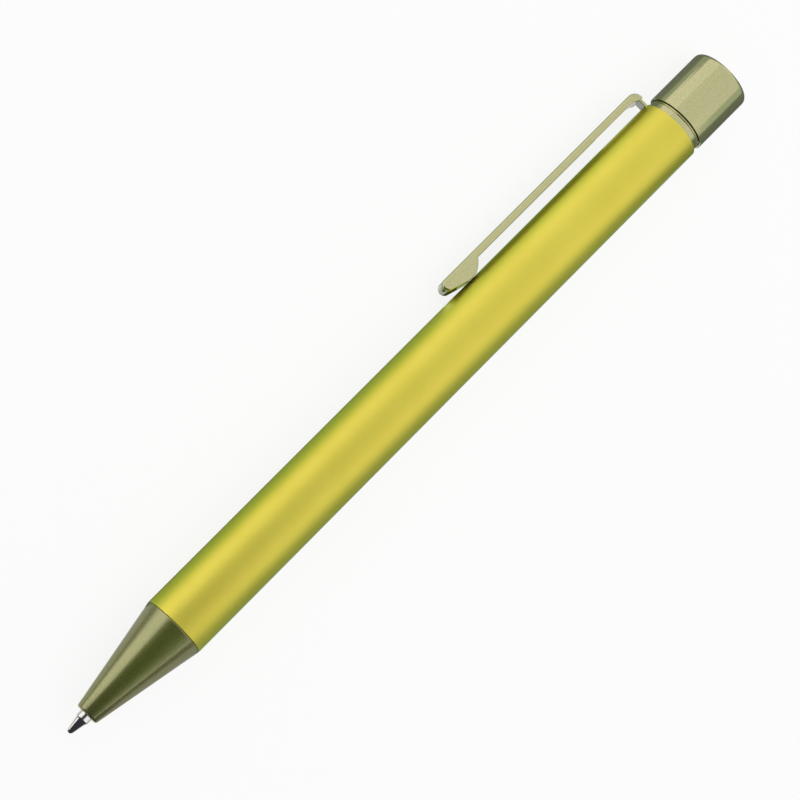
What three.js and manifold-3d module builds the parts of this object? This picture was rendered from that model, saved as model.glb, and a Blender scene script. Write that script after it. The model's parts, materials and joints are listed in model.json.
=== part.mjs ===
// A pushbutton ballpoint pen: a lacquered metal nose cone, an anodised aluminium barrel, a sprung side clip
// hooked into the barrel's rear edge, a metal button that telescopes over a collar, and inside them the
// rotating cam mechanism, the return spring and a metal refill of the common 98 mm size.
//
// Lengths are in millimetres. A station is a distance along the pen's axis, counted from the front face of
// the nose cone towards the button, and radii are counted from that axis. The pieces are made with their
// stations along Z and the clip on the +X side. The finished pen is then laid down as it comes to rest on a
// table, on its barrel and the edge of its clip, with the writing point towards +X.
import * as THREE from "three";
import { mergeVertices } from "three/addons/utils/BufferGeometryUtils.js";
import Module from "manifold-3d";

// Clearances
const FIT = 0.05; // radial gap between pieces that slide, turn or press into each other
const SEAT_GAP = 0.03; // gap where two pieces meet end to end
const REFILL_PLAY = 0.25; // radial room round the refill in the nose cone
const CAM_GAP = 0.1; // room between the turning and the fixed cams
const STOP_GAP = 0.3; // room left where a sliding piece nears its stop

// Refill: a point pressed into a turned neck, which closes the front of a thin metal tube
const REFILL_LENGTH = 98;
const REFILL_TUBE_DIAMETER = 5.9;
const REFILL_TUBE_WALL = 0.2;
const REFILL_SHOULDER = 21; // from the ball's end to the shoulder that the spring pushes on
const REFILL_FLANGE = 0.6;
const REFILL_NECK_DIAMETER = 3;
const REFILL_PLUG_LENGTH = 4; // how far the neck and the end cap reach into the tube
const REFILL_CAP_LENGTH = 4;
const REFILL_CAP_DIAMETER = 5.2;
const POINT_SHOWS = 3.5; // how far the point stands out of the nose cone
const POINT_LENGTH = 8.5;
const POINT_DIAMETER = 2.1;
const POINT_CONE_LENGTH = 2.05;
const POINT_CONE_DIAMETER = 1.75;
const POINT_LIP_DIAMETER = 0.92;
const POINT_SHOULDER = 0.25;
const POINT_STEM_DIAMETER = 1.5;
const POINT_STEM_LENGTH = 3.5;
const INK_CHANNEL_DIAMETER = 0.4;
const BALL_DIAMETER = 0.8;
const BALL_SHOWS = 0.3;
const BALL_PLAY = 0.03;
const INK_HEADROOM = 9.3; // empty stretch of the tube between the ink and the end cap

// Nose cone, with a smooth shank where the real one has its screw thread
const NOSE_LENGTH = 17.25;
const NOSE_TIP_DIAMETER = 3.6;
const NOSE_EDGE_RADIUS = 0.35;
const NOSE_POINT_BORE = 2.4;
const NOSE_NECK_BORE = 3.4;
const NOSE_SHANK_LENGTH = 8.25;
const NOSE_SHANK_WALL = 0.6;
const NOSE_SHANK_CHAMFER = 0.3;
const NECK_RUN_IN = 1; // room in front of the refill's neck at full press
const SPRING_SEAT = 8; // station of the step that holds the spring's front end

// Return spring
const SPRING_WIRE = 0.4;
const SPRING_CURLS = 9;
const SPRING_PLAY = 0.25;
const SPRING_STEPS = 8;
const SPRING_SIDES = 5;

// Barrel and the threaded bushing in its front end
const BARREL_WALL = 0.7;
const BARREL_REAR_CHAMFER = 0.15;
const BUSHING_WALL = 0.4;
const BUSHING_LENGTH = 9.4;
const BUSHING_SETBACK = 0.35;

// Rear sleeve: pressed into the barrel, with a collar that the button slides over
const SLEEVE_WALL = 0.6;
const SLEEVE_GRIP = 11.2; // how far the sleeve reaches over the cam guide
const COLLAR_LIP = 0.3; // how far the collar stands proud of the barrel's bore
const COLLAR_SHOWS = 1.4; // collar left bare between the barrel and the button
const COLLAR_GROOVE_DEPTH = 0.1;
const COLLAR_GROOVE_SETBACK = 0.35;

// Push button
const BUTTON_LENGTH = 10.15;
const BUTTON_WALL = 0.3;
const BUTTON_END_WALL = 0.8;
const BUTTON_END_RADIUS = 0.8;
const BUTTON_RIM_CHAMFER = 0.12;
const RIM_ROOM = 0.4; // left between the button's rim and the barrel at full press
const RELEASE_TRAVEL = 4.8; // how far the button and the refill spring back when released

// Cam mechanism
const GUIDE_WALL = 0.3;
const GUIDE_SKIRT = 5; // plain stretch in front of the guide's lugs
const GUIDE_LUG_LENGTH = 12.4;
const GUIDE_LUG_HEIGHT = 0.6;
const GUIDE_LUG_WIDTH = 1.6;
const GUIDE_END_WALL = 0.8;
const CAM_COUNT = 4;
const ROTOR_FOOT_LENGTH = 6.45;
const ROTOR_FOOT_DIAMETER = 4.4;
const ROTOR_RIB_LENGTH = 2.9;
const ROTOR_RIB_WIDTH = 1.6;
const ROTOR_STEM_DIAMETER = 2.6;
const ROTOR_STEM_LENGTH = 3.9;
const PLUNGER_SETBACK = 0.5; // from the rotor's cams to the plunger's teeth
const PLUNGER_RIB_WIDTH = 1.4;
const PLUNGER_STEM_DIAMETER = 5;
const PLUNGER_HEAD_DIAMETER = 7;
const PLUNGER_HEAD_LENGTH = 1.15;
const TOOTH_HEIGHT = 0.45;

// Clip
const CLIP_LENGTH = 41.6; // from the tip to the rear face of the bend
const CLIP_WIDTH = 4.4;
const CLIP_THICKNESS = 1.1;
const CLIP_GAP = 1.6; // between the arm and the barrel
const CLIP_EDGE_RADIUS = 0.25;
const CLIP_TIP_RADIUS = 0.95;
const CLIP_FOOT_GAP = 0.05;
const CLIP_FOOT_SLOPE = 15.3; // degrees, from the tip down to the foot
const CLIP_FOOT_LENGTH = 1.5;
const CLIP_HEEL_RADIUS = 5.3;
const CLIP_HEEL_ANGLE = 25; // degrees, where the heel's arc leaves the sole
const CLIP_BEND_RADIUS = 1.3;
const CLIP_BEND_THICKNESS = 0.65;
const CLIP_BEND_DROP = 0.5; // how far the bend comes down below the arm
const CLIP_HOLLOW_ANGLE = 55; // degrees, where the arc under the bend meets the bend's foot
const CLIP_LEG_WIDTH = 2.7;
const CLIP_LEG_THICKNESS = 0.5;
const CLIP_TANG_LENGTH = 2.5;
const CLIP_TANG_DROP = 0.45; // from the barrel's bore down to the tang
const CLIP_REAR_INSET = 0.05;
const NOTCH_ROOM = 0.15; // on each side of the leg

// Fineness of the round surfaces
const ROUND = 48;
const ROUND_REFILL = 32;
const ROUND_SMALL = 24;
const ARC = 6;
const EDGE_STEPS = 2;
const WELD = 1e-4;

// Radii, worked out from the refill outwards
const refillRadius = REFILL_TUBE_DIAMETER / 2;
const tubeBore = refillRadius - REFILL_TUBE_WALL;
const shankBore = refillRadius + REFILL_PLAY;
const shankRadius = shankBore + NOSE_SHANK_WALL;
const bushingBore = shankRadius + FIT;
const bushingRadius = bushingBore + BUSHING_WALL;
const barrelBore = bushingRadius + FIT;
const barrelRadius = barrelBore + BARREL_WALL;
const sleeveRadius = barrelBore - FIT;
const sleeveBore = sleeveRadius - SLEEVE_WALL;
const collarRadius = barrelBore + COLLAR_LIP;
const buttonBore = collarRadius + FIT;
const buttonRadius = buttonBore + BUTTON_WALL;
const guideRadius = sleeveBore - FIT;
const guideBore = guideRadius - GUIDE_WALL;
const lugBore = guideBore - GUIDE_LUG_HEIGHT;
const camRadius = lugBore - CAM_GAP;
const springRadius = (REFILL_NECK_DIAMETER / 2 + refillRadius) / 2;

// Stations, worked out from the nose cone and the refill
const refillFront = -POINT_SHOWS;
const refillShoulder = refillFront + REFILL_SHOULDER;
const refillRear = refillFront + REFILL_LENGTH;
const tubeFront = refillShoulder + REFILL_FLANGE + SEAT_GAP;
const tubeRear = refillRear - REFILL_CAP_LENGTH - SEAT_GAP;
const pressTravel = COLLAR_SHOWS - RIM_ROOM;
const neckBoreFront = refillFront + POINT_LENGTH - pressTravel - NECK_RUN_IN;
const shankBoreFront = refillShoulder - pressTravel - STOP_GAP;
const barrelFront = NOSE_LENGTH + SEAT_GAP;
const rotorFront = refillRear + SEAT_GAP;
const rotorRibFront = rotorFront + ROTOR_FOOT_LENGTH;
const rotorRibRear = rotorRibFront + ROTOR_RIB_LENGTH;
const lugFront = rotorRibRear + CAM_GAP;
const lugRear = lugFront + GUIDE_LUG_LENGTH;
const guideFront = lugFront - GUIDE_SKIRT;
const guideRear = lugRear + GUIDE_END_WALL;
const plungerFront = rotorRibRear + PLUNGER_SETBACK;
const plungerRibRear = lugRear - RELEASE_TRAVEL - STOP_GAP;
const barrelRear = guideRear + 2 * STOP_GAP + CLIP_TANG_LENGTH + CLIP_REAR_INSET;
const collarFront = barrelRear + SEAT_GAP;
const sleeveFront = guideRear - SLEEVE_GRIP;
const buttonFront = barrelRear + COLLAR_SHOWS;
const buttonRear = buttonFront + BUTTON_LENGTH;
const buttonInnerEnd = buttonRear - BUTTON_END_WALL;
const collarRear = buttonInnerEnd - pressTravel - 2 * STOP_GAP;
const clipRear = barrelRear - CLIP_REAR_INSET;
const clipTip = clipRear - CLIP_LENGTH;
const clipInner = barrelRadius + CLIP_GAP;
const clipOuter = clipInner + CLIP_THICKNESS;
const clipBendFoot = clipInner - CLIP_BEND_DROP;

const wasm = await Module();
wasm.setup();

// The closed surface of a geometry as a solid that faces outwards.
function solid(geometry) {
  const loose = geometry.index ? geometry.toNonIndexed() : geometry.clone();
  const bare = new THREE.BufferGeometry().setAttribute("position", loose.getAttribute("position"));
  const merged = mergeVertices(bare, WELD);
  const corners = merged.index.array;
  const triVerts = [];
  for (let i = 0; i < corners.length; i += 3) {
    const [a, b, c] = corners.slice(i, i + 3);
    if (a !== b && b !== c && c !== a) triVerts.push(a, b, c);
  }
  const vertProperties = merged.attributes.position.array;
  const facing = (list) =>
    new wasm.Manifold(new wasm.Mesh({ numProp: 3, vertProperties, triVerts: new Uint32Array(list) }));
  const made = facing(triVerts);
  return made.volume() < 0 ? facing(triVerts.reverse()) : made;
}

// A solid's surface as a geometry.
function surface(made) {
  const { numProp, numVert, vertProperties, triVerts } = made.getMesh();
  const place = new Float32Array(numVert * 3);
  for (let i = 0; i < numVert; i++) {
    place.set(vertProperties.subarray(i * numProp, i * numProp + 3), i * 3);
  }
  const geometry = new THREE.BufferGeometry();
  geometry.setAttribute("position", new THREE.BufferAttribute(place, 3));
  geometry.setIndex(new THREE.BufferAttribute(triVerts, 1));
  geometry.computeVertexNormals();
  return geometry;
}

// A turned solid: its profile is a list of [radius, station], which starts and ends on the axis.
function turned(profile, segments = ROUND) {
  const points = profile.map(([radius, station]) => new THREE.Vector2(radius, station));
  return solid(new THREE.LatheGeometry(points, segments).rotateX(Math.PI / 2));
}

// A turned tube: its profile closes on itself instead.
function turnedTube(profile, segments = ROUND) {
  return turned([...profile, profile[0]], segments);
}

// The points of a quarter or other arc, as [first, second] about a centre, between two angles in degrees.
function arc([u, v], radius, from, to, steps = ARC) {
  return Array.from({ length: steps + 1 }, (_, i) => {
    const angle = THREE.MathUtils.degToRad(from + ((to - from) * i) / steps);
    return [u + radius * Math.cos(angle), v + radius * Math.sin(angle)];
  });
}

// A side outline, given as [station, radius], made `width` thick across the pen's middle plane. A rounded
// edge needs an outline whose sides are longer than the edge's radius at each sharp corner.
function plate(outline, width, edgeRadius = 0) {
  const shape = new THREE.Shape(outline.map(([station, radius]) => new THREE.Vector2(station, radius)));
  const geometry = new THREE.ExtrudeGeometry(shape, {
    depth: width - 2 * edgeRadius,
    bevelEnabled: edgeRadius > 0,
    bevelThickness: edgeRadius,
    bevelSize: edgeRadius,
    bevelOffset: -edgeRadius,
    bevelSegments: EDGE_STEPS,
  });
  geometry.translate(0, 0, edgeRadius - width / 2);
  const stations = new THREE.Vector3(0, 0, 1);
  const radii = new THREE.Vector3(1, 0, 0);
  const across = new THREE.Vector3(0, 1, 0);
  return solid(geometry.applyMatrix4(new THREE.Matrix4().makeBasis(stations, radii, across)));
}

// The same block `count` times round the axis, the first one `start` turns round from the clip.
function roundTheAxis(made, count, start = 0) {
  return Array.from({ length: count }, (_, i) => made.rotate([0, 0, 360 * (start + i / count)]));
}

function joined(solids) {
  return solids.reduce((whole, piece) => whole.add(piece));
}

// How far out a straight rib of this width may reach and still clear a bore.
function ribReach(bore, width) {
  return Math.sqrt((bore - FIT) ** 2 - (width / 2) ** 2);
}

// The triangular notch across the axis that leaves two teeth flanks, cut into a face at a station.
function toothNotch(station, height, reach) {
  const halfWidth = (Math.PI * reach) / (2 * CAM_COUNT);
  const outline = [
    [-halfWidth, station - height / 2],
    [halfWidth, station - height / 2],
    [0, station + height],
  ];
  const shape = new THREE.Shape(outline.map(([across, along]) => new THREE.Vector2(across, along)));
  const geometry = new THREE.ExtrudeGeometry(shape, { depth: 4 * reach, bevelEnabled: false });
  return solid(geometry.translate(0, 0, -2 * reach).rotateX(Math.PI / 2));
}

function noseCone() {
  const tip = NOSE_TIP_DIAMETER / 2;
  const slope = THREE.MathUtils.radToDeg(Math.atan2(barrelRadius - tip, NOSE_LENGTH));
  // the edge arc is tangent to the front face and to the cone
  const edgeCentre = tip - NOSE_EDGE_RADIUS * Math.tan(THREE.MathUtils.degToRad(45 - slope / 2));
  const edge = arc([edgeCentre, NOSE_EDGE_RADIUS], NOSE_EDGE_RADIUS, -90, -slope, ARC / 2);
  const cavity = springRadius + SPRING_WIRE / 2 + SPRING_PLAY;
  return turnedTube([
    [NOSE_POINT_BORE / 2, 0],
    ...edge,
    [barrelRadius, NOSE_LENGTH],
    [shankRadius, NOSE_LENGTH],
    [shankRadius, NOSE_LENGTH + NOSE_SHANK_LENGTH - NOSE_SHANK_CHAMFER],
    [shankRadius - NOSE_SHANK_CHAMFER, NOSE_LENGTH + NOSE_SHANK_LENGTH],
    [shankBore, NOSE_LENGTH + NOSE_SHANK_LENGTH],
    [shankBore, shankBoreFront],
    [cavity, shankBoreFront],
    [cavity, SPRING_SEAT],
    [NOSE_NECK_BORE / 2, SPRING_SEAT],
    [NOSE_NECK_BORE / 2, neckBoreFront],
    [NOSE_POINT_BORE / 2, neckBoreFront],
  ]);
}

function frontBushing() {
  const front = NOSE_LENGTH + BUSHING_SETBACK;
  return turnedTube([
    [bushingBore, front],
    [bushingRadius, front],
    [bushingRadius, front + BUSHING_LENGTH],
    [bushingBore, front + BUSHING_LENGTH],
  ]);
}

function barrelTube() {
  const tube = turnedTube([
    [barrelBore, barrelFront],
    [barrelRadius, barrelFront],
    [barrelRadius, barrelRear - BARREL_REAR_CHAMFER],
    [barrelRadius - BARREL_REAR_CHAMFER, barrelRear],
    [barrelBore, barrelRear],
  ]);
  const notchFront = clipRear - CLIP_LEG_THICKNESS - NOTCH_ROOM;
  const notch = [
    [notchFront, barrelBore - BARREL_WALL],
    [barrelRear + NOTCH_ROOM, barrelBore - BARREL_WALL],
    [barrelRear + NOTCH_ROOM, barrelRadius + BARREL_WALL],
    [notchFront, barrelRadius + BARREL_WALL],
  ];
  return tube.subtract(plate(notch, CLIP_LEG_WIDTH + 2 * NOTCH_ROOM));
}

function neckSleeve() {
  const groove = buttonFront - COLLAR_GROOVE_SETBACK;
  const sleeve = turnedTube([
    [sleeveBore, sleeveFront],
    [sleeveRadius, sleeveFront],
    [sleeveRadius, collarFront],
    [collarRadius, collarFront],
    [collarRadius, groove - COLLAR_GROOVE_DEPTH],
    [collarRadius - COLLAR_GROOVE_DEPTH, groove],
    [collarRadius, groove + COLLAR_GROOVE_DEPTH],
    [collarRadius, collarRear],
    [sleeveBore, collarRear],
  ]);
  const slotFront = clipRear - CLIP_TANG_LENGTH - STOP_GAP;
  const slot = [
    [slotFront, sleeveBore - SLEEVE_WALL],
    [collarFront, sleeveBore - SLEEVE_WALL],
    [collarFront, sleeveRadius + SLEEVE_WALL],
    [slotFront, sleeveRadius + SLEEVE_WALL],
  ];
  return sleeve.subtract(plate(slot, CLIP_LEG_WIDTH + 2 * NOTCH_ROOM));
}

function pushButton() {
  const corner = [buttonRadius - BUTTON_END_RADIUS, buttonRear - BUTTON_END_RADIUS];
  return turned([
    [0, buttonRear],
    ...arc(corner, BUTTON_END_RADIUS, 90, 0),
    [buttonRadius, buttonFront + BUTTON_RIM_CHAMFER],
    [buttonRadius - BUTTON_RIM_CHAMFER, buttonFront],
    [buttonBore, buttonFront],
    [buttonBore, buttonInnerEnd],
    [0, buttonInnerEnd],
  ]);
}

function camGuide() {
  const stemHole = PLUNGER_STEM_DIAMETER / 2 + CAM_GAP;
  const tube = turnedTube([
    [guideBore, guideFront],
    [guideRadius, guideFront],
    [guideRadius, guideRear],
    [stemHole, guideRear],
    [stemHole, lugRear],
    [guideBore, lugRear],
  ]);
  const middle = (lugBore + guideRadius) / 2 - GUIDE_WALL / 4;
  const height = guideRadius - GUIDE_WALL / 2 - lugBore;
  const lug = new THREE.BoxGeometry(height, GUIDE_LUG_WIDTH, GUIDE_LUG_LENGTH + GUIDE_END_WALL / 2);
  lug.translate(middle, 0, (lugFront + lugRear + GUIDE_END_WALL / 2) / 2);
  return joined([tube, ...roundTheAxis(solid(lug), CAM_COUNT)]);
}

function camRotor() {
  const foot = ROTOR_FOOT_DIAMETER / 2;
  const stem = ROTOR_STEM_DIAMETER / 2;
  const core = turned([
    [0, rotorFront],
    [foot, rotorFront],
    [foot, rotorRibFront - 2 * CAM_GAP],
    [camRadius, rotorRibFront],
    [camRadius, rotorRibRear - TOOTH_HEIGHT],
    [stem, rotorRibRear - TOOTH_HEIGHT],
    [stem, rotorRibRear + ROTOR_STEM_LENGTH],
    [0, rotorRibRear + ROTOR_STEM_LENGTH],
  ]);
  // each rib's rear end slopes, so that the plunger's teeth turn it
  const half = ROTOR_RIB_WIDTH / 2;
  const outline = [
    [-half, rotorRibFront],
    [half, rotorRibFront],
    [half, rotorRibRear],
    [-half, rotorRibRear - TOOTH_HEIGHT],
  ];
  const shape = new THREE.Shape(outline.map(([across, along]) => new THREE.Vector2(across, along)));
  const inside = stem + FIT;
  const depth = ribReach(guideBore, ROTOR_RIB_WIDTH) - inside;
  const rib = new THREE.ExtrudeGeometry(shape, { depth, bevelEnabled: false });
  const across = new THREE.Vector3(0, 1, 0);
  const along = new THREE.Vector3(0, 0, 1);
  const out = new THREE.Vector3(1, 0, 0);
  rib.translate(0, 0, inside).applyMatrix4(new THREE.Matrix4().makeBasis(across, along, out));
  return joined([core, ...roundTheAxis(solid(rib), CAM_COUNT, 0.5 / CAM_COUNT)]);
}

function plunger() {
  const stem = PLUNGER_STEM_DIAMETER / 2;
  const socket = ROTOR_STEM_DIAMETER / 2 + 2 * CAM_GAP;
  const socketRear = rotorRibRear + ROTOR_STEM_LENGTH + pressTravel;
  const headRear = buttonInnerEnd - SEAT_GAP;
  const headFront = headRear - PLUNGER_HEAD_LENGTH;
  const core = turned([
    [0, socketRear],
    [socket, socketRear],
    [socket, plungerFront],
    [camRadius, plungerFront],
    [camRadius, plungerRibRear],
    [stem, plungerRibRear],
    [stem, headFront],
    [PLUNGER_HEAD_DIAMETER / 2, headFront],
    [PLUNGER_HEAD_DIAMETER / 2, headRear],
    [0, headRear],
  ]);
  const reach = ribReach(guideBore, PLUNGER_RIB_WIDTH);
  const inside = (socket + camRadius) / 2;
  const rib = new THREE.BoxGeometry(reach - inside, PLUNGER_RIB_WIDTH, plungerRibRear - plungerFront);
  rib.translate((reach + inside) / 2, 0, (plungerRibRear + plungerFront) / 2);
  const whole = joined([core, ...roundTheAxis(solid(rib), CAM_COUNT, 0.5 / CAM_COUNT)]);
  const notches = roundTheAxis(toothNotch(plungerFront, TOOTH_HEIGHT, camRadius), 2 * CAM_COUNT, 0.25 / CAM_COUNT);
  return notches.slice(0, CAM_COUNT).reduce((cut, notch) => cut.subtract(notch), whole);
}

// A wound wire as one unbroken tube, and the least gap between its neighbouring curls.
function returnSpring() {
  const front = SPRING_SEAT + SEAT_GAP + SPRING_WIRE / 2;
  const rear = refillShoulder - SEAT_GAP - SPRING_WIRE / 2;
  const steps = SPRING_CURLS * SPRING_STEPS;
  const centres = [];
  const place = [];
  const rise = (rear - front) / (2 * Math.PI * SPRING_CURLS);
  for (let i = 0; i <= steps; i++) {
    const turn = (2 * Math.PI * i) / SPRING_STEPS;
    const outwards = new THREE.Vector3(Math.cos(turn), Math.sin(turn), 0);
    const forwards = new THREE.Vector3(-Math.sin(turn), Math.cos(turn), rise / springRadius).normalize();
    const upwards = new THREE.Vector3().crossVectors(outwards, forwards);
    const centre = outwards.clone().multiplyScalar(springRadius);
    centre.z = front + rise * turn;
    centres.push(centre);
    for (let k = 0; k < SPRING_SIDES; k++) {
      const angle = (2 * Math.PI * k) / SPRING_SIDES;
      const point = centre.clone();
      point.addScaledVector(outwards, (SPRING_WIRE / 2) * Math.cos(angle));
      point.addScaledVector(upwards, (SPRING_WIRE / 2) * Math.sin(angle));
      place.push(...point.toArray());
    }
  }
  const faces = [];
  const corner = (i, k) => i * SPRING_SIDES + (k % SPRING_SIDES);
  for (let i = 0; i < steps; i++) {
    for (let k = 0; k < SPRING_SIDES; k++) {
      faces.push(corner(i, k), corner(i + 1, k), corner(i + 1, k + 1));
      faces.push(corner(i, k), corner(i + 1, k + 1), corner(i, k + 1));
    }
  }
  for (let k = 1; k < SPRING_SIDES - 1; k++) {
    faces.push(corner(0, 0), corner(0, k), corner(0, k + 1));
    faces.push(corner(steps, 0), corner(steps, k + 1), corner(steps, k));
  }
  let least = Infinity;
  for (let i = 0; i <= steps; i++) {
    for (let j = i + SPRING_STEPS / 2; j <= steps; j++) {
      least = Math.min(least, centres[i].distanceTo(centres[j]) - SPRING_WIRE);
    }
  }
  console.log("least gap between the spring's curls: " + least.toFixed(2) + " mm");
  const geometry = new THREE.BufferGeometry();
  geometry.setAttribute("position", new THREE.Float32BufferAttribute(place, 3));
  geometry.setIndex(faces);
  return solid(geometry);
}

function refillTube() {
  return turnedTube(
    [
      [tubeBore, tubeFront],
      [refillRadius, tubeFront],
      [refillRadius, tubeRear],
      [tubeBore, tubeRear],
    ],
    ROUND_REFILL,
  );
}

function refillNeck() {
  const front = refillFront + POINT_LENGTH + SEAT_GAP;
  const bore = POINT_STEM_DIAMETER / 2 + FIT;
  const rear = tubeFront + REFILL_PLUG_LENGTH;
  return turnedTube(
    [
      [bore, front],
      [REFILL_NECK_DIAMETER / 2 - FIT, front],
      [REFILL_NECK_DIAMETER / 2, front + FIT],
      [REFILL_NECK_DIAMETER / 2, refillShoulder],
      [refillRadius, refillShoulder],
      [refillRadius, refillShoulder + REFILL_FLANGE],
      [tubeBore - FIT, refillShoulder + REFILL_FLANGE],
      [tubeBore - FIT, rear],
      [bore, rear],
    ],
    ROUND_REFILL,
  );
}

function refillTip() {
  const cone = refillFront + BALL_SHOWS + POINT_CONE_LENGTH;
  const rear = refillFront + POINT_LENGTH;
  const ball = BALL_DIAMETER / 2 + BALL_PLAY;
  const socketRear = refillFront + BALL_DIAMETER + 2 * BALL_PLAY;
  return turnedTube(
    [
      [ball, refillFront + BALL_SHOWS],
      [POINT_LIP_DIAMETER / 2, refillFront + BALL_SHOWS],
      [POINT_CONE_DIAMETER / 2, cone],
      [POINT_DIAMETER / 2, cone + POINT_SHOULDER],
      [POINT_DIAMETER / 2, rear],
      [POINT_STEM_DIAMETER / 2, rear],
      [POINT_STEM_DIAMETER / 2, rear + POINT_STEM_LENGTH],
      [INK_CHANNEL_DIAMETER / 2, rear + POINT_STEM_LENGTH],
      [INK_CHANNEL_DIAMETER / 2, socketRear],
      [ball, socketRear],
    ],
    ROUND_SMALL,
  );
}

function writingBall() {
  const radius = BALL_DIAMETER / 2;
  return turned(
    arc([0, refillFront + radius], radius, -90, 90, 2 * ARC).map(([u, v]) => [Math.max(u, 0), v]),
    ROUND_SMALL / 2,
  );
}

function inkColumn() {
  const radius = tubeBore - 2 * FIT;
  const front = tubeFront + REFILL_PLUG_LENGTH + SEAT_GAP;
  const rear = tubeRear - REFILL_PLUG_LENGTH - INK_HEADROOM;
  return turned(
    [
      [0, front],
      [radius, front],
      [radius, rear],
      [0, rear],
    ],
    ROUND_REFILL,
  );
}

function refillEndCap() {
  const radius = REFILL_CAP_DIAMETER / 2;
  const shoulder = tubeRear + SEAT_GAP;
  const vent = INK_CHANNEL_DIAMETER;
  return turnedTube(
    [
      [vent, tubeRear - REFILL_PLUG_LENGTH],
      [tubeBore - FIT, tubeRear - REFILL_PLUG_LENGTH],
      [tubeBore - FIT, shoulder],
      [radius, shoulder],
      [radius, refillRear - REFILL_FLANGE],
      [radius - REFILL_FLANGE, refillRear],
      [vent, refillRear],
    ],
    ROUND_REFILL,
  );
}

// The clip's arm, tip, foot and bend in side view, from the tip round the outer face to the underside.
function clipArmOutline() {
  const slope = THREE.MathUtils.degToRad(CLIP_FOOT_SLOPE);
  const tipCentre = [clipTip + CLIP_TIP_RADIUS, clipOuter - CLIP_TIP_RADIUS];
  const soleRadius = barrelRadius + CLIP_FOOT_GAP;
  const leaves = [
    tipCentre[0] - CLIP_TIP_RADIUS * Math.sin(slope),
    tipCentre[1] - CLIP_TIP_RADIUS * Math.cos(slope),
  ];
  const soleFront = leaves[0] + (leaves[1] - soleRadius) / Math.tan(slope);
  const soleRear = soleFront + CLIP_FOOT_LENGTH;
  // the heel's arc starts at the sole's rear end and ends at the arm's underside
  const heelStart = THREE.MathUtils.degToRad(CLIP_HEEL_ANGLE);
  const heelCentre = [
    soleRear - CLIP_HEEL_RADIUS * Math.sin(heelStart),
    soleRadius + CLIP_HEEL_RADIUS * Math.cos(heelStart),
  ];
  const heelEnd = THREE.MathUtils.radToDeg(Math.acos((heelCentre[1] - clipInner) / CLIP_HEEL_RADIUS));
  const heel = arc(heelCentre, CLIP_HEEL_RADIUS, CLIP_HEEL_ANGLE - 90, heelEnd - 90);
  // the bend's outer arc leaves a straight as long as the edge rounding needs, and a little more
  const straight = CLIP_EDGE_RADIUS + FIT;
  const bendRadius = Math.min(CLIP_BEND_RADIUS, clipOuter - clipBendFoot - straight);
  const bendCentre = [clipRear - bendRadius, clipOuter - bendRadius];
  // the arc under the bend starts at its foot and ends level with the arm's underside
  const hollowStart = THREE.MathUtils.degToRad(CLIP_HOLLOW_ANGLE);
  const hollow = CLIP_BEND_DROP / (1 - Math.sin(hollowStart));
  const hollowCentre = [
    clipRear - CLIP_BEND_THICKNESS - hollow * Math.cos(hollowStart),
    clipInner - hollow,
  ];
  return [
    ...arc(tipCentre, CLIP_TIP_RADIUS, 270 - CLIP_FOOT_SLOPE, 90, 2 * ARC),
    ...arc(bendCentre, bendRadius, 90, 0),
    [clipRear, clipBendFoot],
    ...arc(hollowCentre, hollow, CLIP_HOLLOW_ANGLE, 90, ARC / 2),
    ...heel.reverse(),
    [soleFront, soleRadius],
  ];
}

function clip() {
  const arm = plate(clipArmOutline(), CLIP_WIDTH, CLIP_EDGE_RADIUS);
  const legFront = clipRear - CLIP_LEG_THICKNESS;
  const tangOuter = barrelBore - CLIP_TANG_DROP;
  const tangInner = tangOuter - CLIP_LEG_THICKNESS;
  const leg = [
    [(legFront + clipRear) / 2, (clipBendFoot + clipInner) / 2],
    [clipRear, clipBendFoot],
    [clipRear, tangInner],
    [clipRear - CLIP_TANG_LENGTH, tangInner],
    [clipRear - CLIP_TANG_LENGTH, tangOuter],
    [legFront, tangOuter],
    [legFront, clipBendFoot],
  ];
  return arm.add(plate(leg, CLIP_LEG_WIDTH));
}

// Finishes
const OLIVE_DARK = { color: 0x5f6a38, roughness: 0.28, metalness: 0.9 };
const OLIVE_LIGHT = { color: 0xa3a373, roughness: 0.3, metalness: 0.9 };
const LIME_ANODISED = { color: 0xcfc23f, roughness: 0.4, metalness: 0.8 };
const STEEL = { color: 0xc4c6c8, roughness: 0.25, metalness: 1 };
const NICKEL_SILVER = { color: 0xcfccc2, roughness: 0.2, metalness: 1 };
const BRASS = { color: 0xb8974a, roughness: 0.35, metalness: 1 };
const CARBIDE = { color: 0x8f9296, roughness: 0.15, metalness: 1 };
const WHITE_PLASTIC = { color: 0xe4e4de, roughness: 0.5, metalness: 0 };
const BLACK_PLASTIC = { color: 0x26282a, roughness: 0.5, metalness: 0 };
const INK = { color: 0x14205c, roughness: 0.3, metalness: 0 };

function mesh(name, made, finish) {
  const piece = new THREE.Mesh(surface(made), new THREE.MeshStandardMaterial(finish));
  piece.name = name;
  return piece;
}

const barrel = new THREE.Group();
barrel.add(
  mesh("barrel_tube", barrelTube(), LIME_ANODISED),
  mesh("front_bushing", frontBushing(), BRASS),
  mesh("neck_sleeve", neckSleeve(), OLIVE_LIGHT),
  mesh("cam_guide", camGuide(), BLACK_PLASTIC),
);

const refill = new THREE.Group();
refill.add(
  mesh("refill_tube", refillTube(), STEEL),
  mesh("refill_neck", refillNeck(), BRASS),
  mesh("refill_tip", refillTip(), NICKEL_SILVER),
  mesh("writing_ball", writingBall(), CARBIDE),
  mesh("ink_column", inkColumn(), INK),
  mesh("refill_end_cap", refillEndCap(), WHITE_PLASTIC),
);

const button = new THREE.Group();
button.add(mesh("push_button", pushButton(), OLIVE_LIGHT), mesh("plunger", plunger(), BLACK_PLASTIC));

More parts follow.
